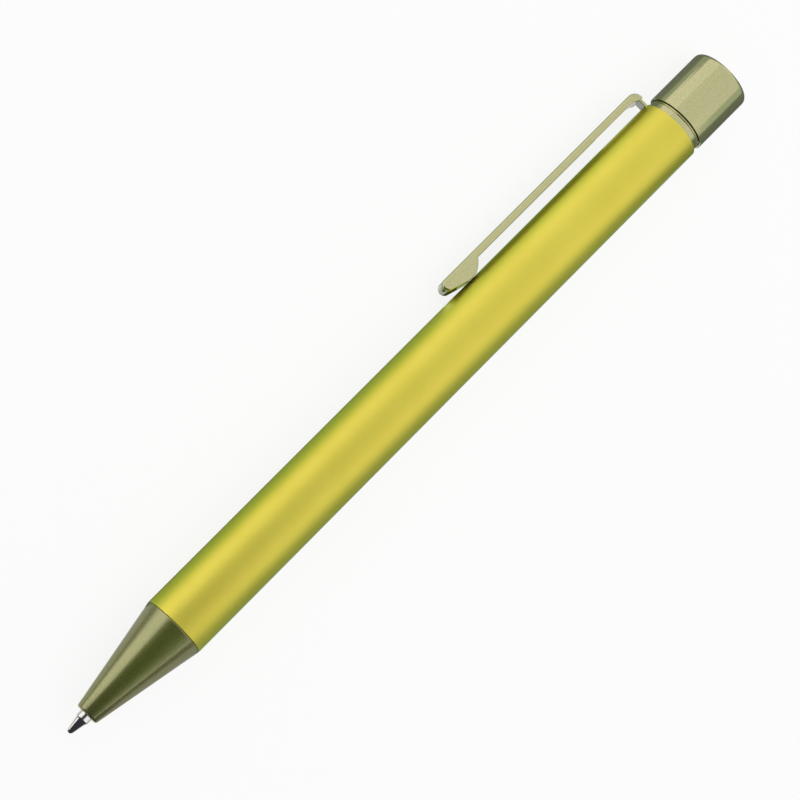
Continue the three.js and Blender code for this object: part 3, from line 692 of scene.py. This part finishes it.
def ink_paste():
    """Oil-based ballpoint ink: a dark, glossy paste that settles in soft folds."""
    material, tree = new_finish("ballpoint_ink")
    place = add(tree, "ShaderNodeTexCoord").outputs["Object"]
    folds = add(tree, "ShaderNodeTexNoise", {"Vector": place, "Scale": per_mm(INK_FOLD), "Detail": 2.0})
    bump = add(tree, "ShaderNodeBump", {
        "Height": folds.outputs["Fac"], "Strength": 0.2, "Distance": MM * INK_FOLD_HEIGHT
    })
    shader = add(tree, "ShaderNodeBsdfPrincipled", {
        "Base Color": colour(INK_BLUE), "Roughness": 0.15, "Normal": bump.outputs["Normal"]
    })
    show(tree, shader.outputs["BSDF"])
    return material


finish_piece(ink_column(), ink_paste(), "ink", "refill", "ink_column")
finish_piece(end_cap(), white_acetal, "white_plastic", "refill", "refill_end_cap")

# Writing point and its ball
# The point is turned from nickel silver wire: a cone whose lip is rolled over the carbide ball, a small
# shoulder, and a cylinder that rests on the neck. Its stem is pressed into the neck.
POINT_FRONT = -3.2
POINT_CONE_REAR = -1.15
POINT_SHOULDER_REAR = -0.9
POINT_REAR = 5.0
POINT_STEM_REAR = 8.5
POINT_LIP_RADIUS = 0.46
POINT_CONE_RADIUS = 0.875
POINT_RADIUS = 1.05
POINT_STEM_RADIUS = 0.75
INK_CHANNEL = 0.2
SOCKET_REAR = -2.64
BALL_STATION = -3.1
BALL_RADIUS = 0.4
BALL_SOCKET = 0.43
BALL_STEPS = 32
POINT_LIP_EDGE = 0.01
POINT_SHOULDER_EDGE = 0.12
POINT_REAR_EDGE = 0.05
POINT_EDGE = 0.1
NICKEL_SILVER = "#EFEEEA"
NICKEL_SILVER_DARK = "#E3E1DB"
CARBIDE = "#8F9296"
CARBIDE_DARK = "#7C8085"


def writing_point():
    """The outline from the lip back over cone, shoulder, cylinder and stem, and forward in the bore."""
    outline = rounded([
        (BALL_SOCKET, POINT_FRONT, 0),
        (POINT_LIP_RADIUS, POINT_FRONT, POINT_LIP_EDGE),
        (POINT_CONE_RADIUS, POINT_CONE_REAR, POINT_EDGE),
        (POINT_RADIUS, POINT_SHOULDER_REAR, POINT_SHOULDER_EDGE),
        (POINT_RADIUS, POINT_REAR, POINT_REAR_EDGE),
        (POINT_STEM_RADIUS, POINT_REAR, 0),
        (POINT_STEM_RADIUS, POINT_STEM_REAR, POINT_EDGE),
        (INK_CHANNEL, POINT_STEM_REAR, 0),
        (INK_CHANNEL, SOCKET_REAR, 0),
        (BALL_SOCKET, SOCKET_REAR, POINT_EDGE),
    ])
    return turned("writing_point", outline, segments=96)


def ball():
    """A sphere: the radius is the sine, and the station the cosine, of an angle from pole to pole."""
    turn = np.linspace(0, math.pi, BALL_STEPS + 1)
    radius = BALL_RADIUS * np.sin(turn)
    radius[[0, -1]] = 0
    outline = np.stack([radius, BALL_STATION - BALL_RADIUS * np.cos(turn)], axis=-1)
    return turned("carbide_ball", outline, segments=48)


nickel_silver = turned_metal(
    "turned_nickel_silver", NICKEL_SILVER, NICKEL_SILVER_DARK, roughness=0.08, marks=0.01
)
carbide = turned_metal("polished_carbide", CARBIDE, CARBIDE_DARK, roughness=0.1, marks=0.03)
finish_piece(writing_point(), nickel_silver, "nickel_silver", "refill", "refill_tip")
finish_piece(ball(), carbide, "carbide", "ball", "writing_ball")

# Return spring
# Wound from spring steel wire, with closed coils at both ends. It stands in the nose cone and pushes on the
# refill's flange.
SPRING_FRONT = 8.23
SPRING_REAR = 17.27
SPRING_RADIUS = 2.225
WIRE_RADIUS = 0.2
SPRING_TURNS = 9
TURN_STEPS = 40
WIRE_SIDES = 12
CLOSED_TURNS = 0.75
CLOSED_PITCH = 0.45
SPRING_STEEL = "#B9BBBE"
SPRING_STEEL_DARK = "#9EA1A5"


def return_spring():
    """A helix with a round section. The pitch is small over the closed end turns and even between them, and
    the section shrinks as a half circle to a point at both ends of the wire."""
    turn = np.linspace(0, SPRING_TURNS, SPRING_TURNS * TURN_STEPS + 1)
    length = SPRING_REAR - SPRING_FRONT
    pitch = (length - 2 * CLOSED_TURNS * CLOSED_PITCH) / (SPRING_TURNS - 2 * CLOSED_TURNS)
    rise = [0, CLOSED_TURNS * CLOSED_PITCH, length - CLOSED_TURNS * CLOSED_PITCH, length]
    bends = [0, CLOSED_TURNS, SPRING_TURNS - CLOSED_TURNS, SPRING_TURNS]
    station = SPRING_FRONT + np.interp(turn, bends, rise)
    slope = math.atan2(pitch, 2 * math.pi * SPRING_RADIUS)
    from_end = np.minimum(turn, SPRING_TURNS - turn) * 2 * math.pi * SPRING_RADIUS / WIRE_RADIUS
    section = WIRE_RADIUS * np.sqrt(np.clip(1 - (1 - np.clip(from_end, 0, 1)) ** 2, 0, 1))
    round_wire = np.linspace(0, 2 * math.pi, WIRE_SIDES, endpoint=False)[None, :]
    out = section[:, None] * np.cos(round_wire)
    along = section[:, None] * np.sin(round_wire)
    angle = 2 * math.pi * turn[:, None] - along * math.sin(slope) / SPRING_RADIUS
    grid = on_pen(station[:, None] + along * math.cos(slope), SPRING_RADIUS + out, angle)
    return piece_from_grid("spring_wire", grid, close_rows=False)


spring = return_spring()
spring.data.materials.append(drawn_steel("spring_steel", SPRING_STEEL, SPRING_STEEL_DARK))
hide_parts("return_spring")
on_pen(SPRING_FRONT, 0.0, 0.0).tolist()
on_pen(SPRING_REAR, 0.0, 0.0).tolist()
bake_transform(spring)

# Nose cone
# Turned from brass bar and sprayed with an olive metallic lacquer, whose base colour here is set darker
# than on the clip and button. Its front edge is rounded, its bore holds the spring and guides the point,
# and its threaded shank screws into the bush.
NOSE_LENGTH = 17.25
NOSE_TIP_RADIUS = 1.8
NOSE_FRONT_EDGE = 0.35
NOSE_EDGE = 0.1
POINT_BORE = 1.2
NECK_BORE_FRONT = 3.0
NECK_BORE_RADIUS = 1.7
SPRING_SEAT = 8.0
SPRING_BORE = 2.675
SHANK_BORE_FRONT = 16.2
SHANK_BORE = 3.2
SHANK_RADIUS = 3.8
SHANK_ROOT = 3.5
SHANK_NECK = 0.6  # plain stretch between the cone and the thread
SHANK_REAR = 25.5
SHANK_CHAMFER = 0.3
OLIVE_DARK = "#949361"
OLIVE_DARK_FLAKE = "#A2A170"


def nose_cone():
    """The outline from the bore's front edge over the cone, then its threaded shank, then back through the
    three steps of the bore. The cone's last corner only shows the one before it a way, and is dropped."""
    cone = rounded([
        (POINT_BORE, NECK_BORE_FRONT, 0),
        (POINT_BORE, 0, NOSE_EDGE),
        (NOSE_TIP_RADIUS, 0, NOSE_FRONT_EDGE),
        (BARREL_RADIUS, NOSE_LENGTH, NOSE_EDGE),
        (SHANK_RADIUS, NOSE_LENGTH, 0),
        (SHANK_BORE, NOSE_LENGTH, 0),
    ])[: -(ROUNDING_STEPS + 1)]
    line = thread_line(SHANK_RADIUS, NOSE_LENGTH + SHANK_NECK, SHANK_REAR - SHANK_CHAMFER)
    bore = [
        (SHANK_RADIUS - SHANK_CHAMFER, SHANK_REAR),
        (SHANK_BORE, SHANK_REAR),
        (SHANK_BORE, SHANK_BORE_FRONT),
        (SPRING_BORE, SHANK_BORE_FRONT),
        (SPRING_BORE, SPRING_SEAT),
        (NECK_BORE_RADIUS, SPRING_SEAT),
        (NECK_BORE_RADIUS, NECK_BORE_FRONT),
    ]
    cut = thread(SHANK_RADIUS, SHANK_ROOT, NOSE_LENGTH + SHANK_NECK, SHANK_REAR - SHANK_CHAMFER)
    return turned("nose", np.concatenate([cone, line, bore]), segments=160, relief=cut)


dark_lacquer = metallic_lacquer("dark_olive_lacquer", OLIVE_DARK, OLIVE_DARK_FLAKE, roughness=0.31)
finish_piece(nose_cone(), dark_lacquer, "olive_dark", "nose", "nose_cone")

# Clip
# Stamped from spring steel strip and lacquered like the button. Its arm ends in a wedge-shaped foot that
# rests on the barrel. At the other end a narrower leg goes down through the notch and turns forwards.
CLIP_TIP = 78.68
CLIP_REAR = 120.28
CLIP_INNER = 6.6
CLIP_OUTER = 7.7
CLIP_WIDTH = 4.4
CLIP_EDGE = 0.4
CLIP_BEND_EDGE = 0.28
CLIP_INNER_EDGE = 0.15
CLIP_TIP_EDGE = 0.45
CLIP_HOLD = 0.5  # more than the edge, so that no inner ring crosses itself
UNDERSIDE_ROOM = 0.01  # how far above the underside a point still belongs to it
FACE_RING = 1.1  # where the flat ring meets the face, in roundings from the edge
TIP_RADIUS = 0.95
TIP_STEPS = 24
FOOT_SLOPE = math.radians(15.3)
FOOT_LENGTH = 1.5
FOOT_RADIUS = 5.05
HEEL_RADIUS = 5.3
HEEL_START = math.radians(25)
HEEL_STEPS = 16
BEND_RADIUS = 1.3
BEND_FOOT = 6.1
BEND_THICKNESS = 0.65
BEND_STEPS = 14
HOLLOW_RADIUS = 2.765
HOLLOW_START = math.radians(55)
HOLLOW_STEPS = 10
LEG_WIDTH = 2.7
LEG_THICKNESS = 0.5
LEG_EDGE = 0.1
LEG_ROUND = 0.15
LEG_CORNER = 0.45
TANG_OUTER = 3.85
TANG_LENGTH = 2.5


def arc(centre, radius, first, last, steps):
    """Points (radius, station) on an arc: out from the centre by the sine, and along by the cosine."""
    turn = np.linspace(first, last, steps)
    return np.stack([centre[0] + radius * np.sin(turn), centre[1] + radius * np.cos(turn)], axis=-1)


def rounded_plate(name, outline, width, rounding):
    """A plate whose long edges are round, by one rounding or by one for each corner. Towards each face the
    outline moves in along its corners' bisectors on a quarter circle, and a flat ring meets the face."""
    ahead = np.roll(outline, -1, axis=0) - outline
    ahead /= np.linalg.norm(ahead, axis=1, keepdims=True)
    outwards = np.stack([ahead[:, 1], -ahead[:, 0]], axis=-1)
    area = (outline[:, 0] * np.roll(outline[:, 1], -1) - outline[:, 1] * np.roll(outline[:, 0], -1)).sum()
    before = np.roll(outwards, 1, axis=0)
    mitre = (outwards + before) / (1 + (outwards * before).sum(axis=1, keepdims=True)) * np.sign(area)
    turn = np.linspace(0, math.pi / 2, ROUNDING_STEPS + 1)
    inset = np.concatenate([[0], 1 - np.cos(turn), [FACE_RING]])[:, None] * rounding
    height = width / 2 - np.concatenate([[FACE_RING], 1 - np.sin(turn), [0]])[:, None] * rounding
    inset = np.concatenate([inset[::-1], inset])[..., None]
    height = np.concatenate([-height[::-1], height])[..., None]
    rows = outline[None] - mitre[None] * inset
    grid = on_pen(rows[..., 1], rows[..., 0], 0.0) + MM * height * across_way
    return piece_from_rings(name, grid)


def clip_arm():
    """The arm from the side: a half round tip, the bend's outer arc, the hollow under it, the straight
    underside, the heel's arc and the sole, joined by straight lines. Its long edges are rounded less at the
    bend's foot, and least along the underside, where the rounding tapers from the tip."""
    tip_centre = np.array([CLIP_OUTER - TIP_RADIUS, CLIP_TIP + TIP_RADIUS])
    leaves = tip_centre - TIP_RADIUS * np.array([math.cos(FOOT_SLOPE), math.sin(FOOT_SLOPE)])
    sole_front = leaves[1] + (leaves[0] - FOOT_RADIUS) / math.tan(FOOT_SLOPE)
    sole_rear = sole_front + FOOT_LENGTH
    heel_centre = (
        FOOT_RADIUS + HEEL_RADIUS * math.cos(HEEL_START),
        sole_rear - HEEL_RADIUS * math.sin(HEEL_START),
    )
    heel_end = math.acos((heel_centre[0] - CLIP_INNER) / HEEL_RADIUS)
    bend_centre = (CLIP_OUTER - BEND_RADIUS, CLIP_REAR - BEND_RADIUS)
    hollow_centre = (
        CLIP_INNER - HOLLOW_RADIUS,
        CLIP_REAR - BEND_THICKNESS - HOLLOW_RADIUS * math.cos(HOLLOW_START),
    )
    down, level = -math.pi / 2, math.pi / 2
    outline = np.concatenate(
        [
            arc(tip_centre, TIP_RADIUS, 3 * level - FOOT_SLOPE, level, TIP_STEPS),
            arc(bend_centre, BEND_RADIUS, level, 0, BEND_STEPS),
            [(BEND_FOOT, CLIP_REAR)],
            arc(hollow_centre, HOLLOW_RADIUS, HOLLOW_START, level, HOLLOW_STEPS),
            arc(heel_centre, HEEL_RADIUS, down + heel_end, down + HEEL_START, HEEL_STEPS),
            [(FOOT_RADIUS, sole_front)],
        ]
    )
    outline = held(outline, CLIP_HOLD)
    from_bend = np.linalg.norm(outline - (BEND_FOOT, CLIP_REAR), axis=1)
    edge = np.interp(from_bend, [BEND_THICKNESS, BEND_RADIUS], [CLIP_BEND_EDGE, CLIP_EDGE])
    from_tip = outline[:, 1] - CLIP_TIP
    inner_edge = np.interp(from_tip, [0, 2 * TIP_RADIUS], [CLIP_TIP_EDGE, CLIP_INNER_EDGE])
    edge = np.where(outline[:, 0] < CLIP_INNER + UNDERSIDE_ROOM, inner_edge, edge)
    return rounded_plate("clip_arm", outline, CLIP_WIDTH, edge)


def clip_leg():
    """The leg's outline, bent at a right angle into the tang: the corner is round on both sides."""
    leg_front = CLIP_REAR - LEG_THICKNESS
    tang_inner = TANG_OUTER - LEG_THICKNESS
    root = (BEND_FOOT + CLIP_INNER) / 2
    outline = rounded([
        (root, leg_front + LEG_EDGE, 0),
        (root, CLIP_REAR - LEG_EDGE, 0),
        (BEND_FOOT, CLIP_REAR, 0),
        (tang_inner, CLIP_REAR, LEG_CORNER),
        (tang_inner, CLIP_REAR - TANG_LENGTH, 0),
        (TANG_OUTER, CLIP_REAR - TANG_LENGTH, 0),
        (TANG_OUTER, leg_front, LEG_EDGE),
        (BEND_FOOT, leg_front, 0),
    ])
    return rounded_plate("clip_leg", held(outline, 2 * LEG_ROUND), LEG_WIDTH, LEG_ROUND)


clip = clip_arm()
combine(clip, clip_leg(), "UNION")
clip.name = "side_clip"
finish_piece(clip, light_lacquer, "olive_light", "clip", "clip")

# Push button
# A cap drawn from brass sheet and lacquered, with a rounded end edge and a rim that is cut square. It
# slides over the sleeve's collar, with the plunger pressed into it.
BUTTON_FRONT = 121.73
BUTTON_REAR = 131.88
BUTTON_RADIUS = 4.95
BUTTON_BORE = 4.65
BUTTON_INNER_END = 131.08
BUTTON_END_EDGE = 0.8
BUTTON_RIM_EDGE = 0.04
BUTTON_INNER_CORNER = 0.4
BUTTON_STEPS = 10  # finer than elsewhere, because its end edge is large


def button():
    """A cap: one outline from the middle of its outer end round the rim to the middle of its inner end."""
    outline = rounded([
        (0, BUTTON_REAR, 0),
        (BUTTON_RADIUS, BUTTON_REAR, BUTTON_END_EDGE),
        (BUTTON_RADIUS, BUTTON_FRONT, BUTTON_RIM_EDGE),
        (BUTTON_BORE, BUTTON_FRONT, BUTTON_RIM_EDGE),
        (BUTTON_BORE, BUTTON_INNER_END, BUTTON_INNER_CORNER),
        (0, BUTTON_INNER_END, 0),
    ], steps=BUTTON_STEPS)
    return turned("button_cap", outline, segments=192)


finish_piece(button(), light_lacquer, "olive_light", "button", "push_button")

# The table
# A pale matt table top. To the camera, and in the metal's reflections, it is nearly white wherever the pen
# keeps no light off it.
TABLE_SIZE = 6.0
TABLE_DROP = 0.02
TABLE_WHITE = "#F4F4F2"
TABLE_GLOW = 0.86


def seen_or_mirrored(tree):
    """1 for the rays that the camera sees or that gloss and glass send on, and 0 for the rest."""
    path = add(tree, "ShaderNodeLightPath").outputs
    mirrored = add(
        tree,
        "ShaderNodeMath",
        {0: path["Is Glossy Ray"], 1: path["Is Transmission Ray"]},
        operation="MAXIMUM",
    )
    either = add(
        tree, "ShaderNodeMath", {0: path["Is Camera Ray"], 1: mirrored.outputs[0]}, operation="MAXIMUM"
    )
    return either.outputs[0]


def table_top():
    """Matt white card, most of whose brightness to the camera is its own."""
    material, tree = new_finish("matt_table")
    matt = add(tree, "ShaderNodeBsdfDiffuse", {"Color": colour(TABLE_WHITE)})
    glow = add(tree, "ShaderNodeEmission", {"Color": (1.0, 1.0, 1.0, 1.0), "Strength": 1.0})
    share = add(tree, "ShaderNodeMath", {0: seen_or_mirrored(tree), 1: TABLE_GLOW}, operation="MULTIPLY")
    mixed = add(tree, "ShaderNodeMixShader", {0: share.outputs[0], 1: matt.outputs[0], 2: glow.outputs[0]})
    show(tree, mixed.outputs[0])
    return material


bpy.ops.mesh.primitive_plane_add(size=TABLE_SIZE, location=(0, 0, -MM * TABLE_DROP))
table = bpy.context.object
table.name = "table"
table.data.materials.append(table_top())
table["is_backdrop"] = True

# The studio
# One broad soft lamp hangs over the pen's side, and the room round it is white. Cards which only
# reflections see stand round the pen and glow with a set brightness and tint, though they are no lamps: the
# bright and tinted ones are painted reflections that draw its bands and colours, and the dark ones that lie
# on the table beside and under the pen are painted shade, where the pen's shadow darkens the table, and
# draw its dark edges.
ROOM_LIGHT = 0.55
LAMP_RADIANCE = 0.85
LAMP_DISTANCE = 400.0
LAMP_TURN = math.radians(-19.5)
LAMP_WIDTH = 1080.0
LAMP_LENGTH = 520.0
LAMP_STATION = 234.0
CARD_DISTANCE = 60.0
FAR_CARD_DISTANCE = 300.0
POINT_LINE_DISTANCE = 295.0
POINT_DARK_DISTANCE = 20.0
CARD_LIFT = 0.15
# The cards' tints colour the pen's reflections: painted reflection colours.
CARD_WHITE = "#FFFFFF"
CARD_GREEN = "#F2FFF8"
CARD_OLIVE = "#CCFF2C"
CARD_SAGE = "#E0FF98"
CARD_LIME = "#E4FFD4"
CARD_ROSE = "#FFF8FC"
CARD_BLUE = "#D2D4FF"
CARD_PLUM = "#F0E4FF"
CARD_STEPS = 24
NEAR_END = -1500.0
FRONT_START = -600.0
FRONT_END = -45.0
FLOOR_END = -7.0
NOSE_END = 5.0
BARREL_SIDE_START = 12.0
JOINT_SHADE = 16.5  # where the pen's edge changes from the nose cone's shade to the barrel's
TIP_SHADE = 78.0
FOOT_SHADE = 78.55
UNDER_CLIP_DARK = 79.3
UNDER_CLIP_SIDE = 80.0
FOOT_LIGHT = 81.2
FOOT_END = 84.0
HOLLOW_SHADE = 112.0
LEG_LIGHT = 117.6
BEND_LIGHT = 119.25
BEND_END = 120.2
BUTTON_SHADE = 122.0
COLLAR_SIDE = 130.0
COLLAR_CLIP_END = 136.5
COLLAR_END = 143.0
BUTTON_START = 224.5
FAR_END = 500.0
POINT_DARK = (-60.0, -6.5)
POINT_LINE = (6.0, 40.0)


def studio_room():
    """White for what the camera sees and what gloss reflects, and a weaker light on everything else."""
    world = bpy.data.worlds.new("studio_room")
    bpy.context.scene.world = world
    world.use_nodes = True
    tree = world.node_tree
    tree.nodes.clear()
    strength = add(tree, "ShaderNodeMapRange", {
        "Value": seen_or_mirrored(tree), "To Min": ROOM_LIGHT, "To Max": 1.0
    })
    background = add(tree, "ShaderNodeBackground", {"Strength": strength.outputs["Result"]})
    background.inputs["Color"].default_value = (1.0, 1.0, 1.0, 1.0)
    output = add(tree, "ShaderNodeOutputWorld")
    tree.links.new(background.outputs[0], output.inputs["Surface"])


def reflected(turn, station, distance):
    """Where the barrel's reflection ends. On the barrel, the normal that is turned half as far round from
    the camera's side mirrors the view to this turn. The ray runs for the distance, or to the table."""
    turn, station = np.broadcast_arrays(turn, station)
    start = on_pen(station, BARREL_RADIUS, math.pi / 2 - turn / 2)
    way = on_pen(0.0, 1.0, math.pi / 2 - turn) - on_pen(0.0, 0.0, 0.0)
    way /= np.linalg.norm(way, axis=-1, keepdims=True)
    drop = start[..., 2] - MM * CARD_LIFT
    reach = np.where(way[..., 2] < 0, drop / np.maximum(-way[..., 2], NEARLY_ZERO), np.inf)
    return start + way * np.minimum(reach, MM * distance)[..., None]


def card(name, turns, stations, radiance, tint, distance=CARD_DISTANCE):
    """A card that the barrel would reflect between two turns, in degrees from the camera's side towards the
    clip, and two stations. Only reflections see it, and it glows with the given brightness and tint in
    them,
    though it is no lamp: a painted reflection, and painted shade where it is dark and lies on the table."""
    turn = np.radians(np.linspace(*turns, CARD_STEPS))[:, None]
    grid = reflected(turn, np.array(stations)[None, :], distance)
    row = np.arange(CARD_STEPS - 1)
    faces = np.stack([2 * row, 2 * row + 1, 2 * row + 3, 2 * row + 2], axis=-1)
    mesh = bpy.data.meshes.new(name)
    mesh.from_pydata(grid.reshape(-1, 3), [], faces)
    material, tree = new_finish(name)
    glow = add(tree, "ShaderNodeEmission", {"Color": colour(tint), "Strength": radiance})
    show(tree, glow.outputs[0])
    mesh.materials.append(material)
    piece = bpy.data.objects.new(name, mesh)
    bpy.context.scene.collection.objects.link(piece)
    piece.visible_camera = False
    piece.visible_diffuse = False
    piece.visible_transmission = False
    piece.visible_shadow = False
    piece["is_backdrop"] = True


def soft_lamp():
    """A rectangle of even brightness. Its power is radiance times pi times area."""
    lamp = bpy.data.lights.new("soft_lamp", "AREA")
    lamp.shape = "RECTANGLE"
    lamp.size = MM * LAMP_LENGTH
    lamp.size_y = MM * LAMP_WIDTH
    lamp.energy = LAMP_RADIANCE * math.pi * lamp.size * lamp.size_y
    hung = bpy.data.objects.new("soft_lamp", lamp)
    out = on_pen(0.0, 1.0, math.pi / 2 - LAMP_TURN) - on_pen(0.0, 0.0, 0.0)
    out /= np.linalg.norm(out)
    facing = Matrix(np.column_stack([button_way, np.cross(out, button_way), out]).tolist()).to_4x4()
    place = on_pen(LAMP_STATION, 0.0, 0.0) + MM * LAMP_DISTANCE * out
    hung.matrix_world = Matrix.Translation(place.tolist()) @ facing
    hung.visible_camera = False
    hung.visible_glossy = False
    bpy.context.scene.collection.objects.link(hung)


studio_room()
soft_lamp()
# The far cards glow in the pen's reflections, though they are no lamps: painted reflections, bright and
# tinted over the barrel and button, dim olive and green over the nose.
for name, turns, stations, radiance, tint in (
    ("nose_dark", (-38, 32), (NEAR_END, NOSE_END), 0.115, CARD_OLIVE),
    ("nose_dim", (-54, -38), (NEAR_END, NOSE_END), 0.18, CARD_SAGE),
    ("nose_grey", (-71, -54), (NEAR_END, NOSE_END), 0.38, CARD_LIME),
    ("nose_side", (-100, -79), (NEAR_END, NOSE_END), 0.08, CARD_GREEN),
    ("nose_light", (32, 86), (NEAR_END, NOSE_END), 1.3, CARD_WHITE),
    ("barrel_left", (-80, -40), (NOSE_END, BUTTON_START), 1.08, CARD_ROSE),
    ("barrel_white", (-40, 34), (NOSE_END, BUTTON_START), 0.91, CARD_WHITE),
    ("barrel_light", (34, 80), (NOSE_END, BUTTON_START), 1.12, CARD_ROSE),
    ("button_white", (-73, 34), (BUTTON_START, FAR_END), 0.85, CARD_WHITE),
):
    card(name + "_card", turns, stations, radiance, tint, FAR_CARD_DISTANCE)
# The near cards. The dark ones that lie on the table beside and under the pen and its clip are painted
# shade, where the pen's shadow darkens the table; the bright and tinted ones are painted reflections.
for name, turns, stations, radiance, tint in (
    ("front_dark", (-100, 112), (FRONT_START, FRONT_END), 0.04, CARD_WHITE),
    ("front_floor", (-180, -100), (FRONT_START, FLOOR_END), 0.04, CARD_WHITE),
    ("front_clip_floor", (112, 180), (FRONT_START, FLOOR_END), 0.04, CARD_WHITE),
    ("nose_edge", (-180, -100), (FLOOR_END, JOINT_SHADE), 0.55, CARD_WHITE),
    ("nose_clip_side", (86, 112), (FRONT_END, JOINT_SHADE), 0.35, CARD_GREEN),
    ("nose_clip_edge", (112, 180), (FLOOR_END, JOINT_SHADE), 0.68, CARD_WHITE),
    ("barrel_side", (-100, -80), (BARREL_SIDE_START, COLLAR_SIDE), 0.61, CARD_GREEN),
    ("barrel_dark", (-180, -100), (JOINT_SHADE, BUTTON_SHADE), 0.36, CARD_GREEN),
    ("collar_side", (-100, -90), (COLLAR_SIDE, COLLAR_END), 0.6, CARD_GREEN),
    ("button_side", (-100, -73), (COLLAR_END, FAR_END), 0.6, CARD_GREEN),
    ("button_dark", (-180, -100), (BUTTON_SHADE, FAR_END), 0.22, CARD_GREEN),
    ("barrel_clip_side", (80, 103), (JOINT_SHADE, UNDER_CLIP_SIDE), 0.7, CARD_LIME),
    ("barrel_clip_dark", (103, 150), (JOINT_SHADE, TIP_SHADE), 0.42, CARD_LIME),
    ("under_clip_side", (80, 103), (UNDER_CLIP_SIDE, BUTTON_SHADE), 0.86, CARD_LIME),
    ("under_clip_dark", (103, 150), (UNDER_CLIP_DARK, BUTTON_SHADE), 0.44, CARD_LIME),
    ("edge", (150, 180), (JOINT_SHADE, TIP_SHADE), 0.08, CARD_GREEN),
    ("tip_light", (125, 180), (TIP_SHADE, FOOT_SHADE), 0.75, CARD_WHITE),
    ("foot_dark", (150, 215), (FOOT_SHADE, FOOT_LIGHT), 0.06, CARD_OLIVE),
    ("foot_light", (150, 215), (FOOT_LIGHT, FOOT_END), 0.45, CARD_SAGE),
    ("under_clip", (150, 215), (FOOT_END, HOLLOW_SHADE), 0.45, CARD_LIME),
    ("hollow_light", (150, 160), (HOLLOW_SHADE, BEND_END), 0.85, CARD_WHITE),
    ("hollow_inner", (160, 205), (HOLLOW_SHADE, LEG_LIGHT), 0.85, CARD_WHITE),
    ("leg_light", (160, 205), (LEG_LIGHT, BEND_LIGHT), 0.95, CARD_BLUE),
    ("bend_light", (160, 205), (BEND_LIGHT, BEND_END), 0.8, CARD_WHITE),
    ("collar_shade", (150, 205), (BEND_END, BUTTON_SHADE), 0.25, CARD_GREEN),
    ("collar_clip_side", (88, 107), (BUTTON_SHADE, COLLAR_CLIP_END), 0.48, CARD_GREEN),
    ("button_clip_side", (75.5, 107), (COLLAR_CLIP_END, FAR_END), 0.46, CARD_GREEN),
    ("button_clip_dark", (107, 180), (BUTTON_SHADE, FAR_END), 0.26, CARD_GREEN),
):
    card(name + "_card", turns, stations, radiance, tint)
# Two dim plum cards paint the dark, purplish reflection on the writing point.
card("point_line_card", (-24, 20), POINT_LINE, 0.08, CARD_PLUM, POINT_LINE_DISTANCE)
card("point_dark_card", (-106, 60), POINT_DARK, 0.045, CARD_PLUM, POINT_DARK_DISTANCE)

bpy.context.scene.view_settings.view_transform = "Standard"


def corners(box):
    """A box as two plain lists of numbers, its lowest and its highest corner."""
    return [list(corner) for corner in box]


{"cad": corners(cad_box), "visual": corners(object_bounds())}
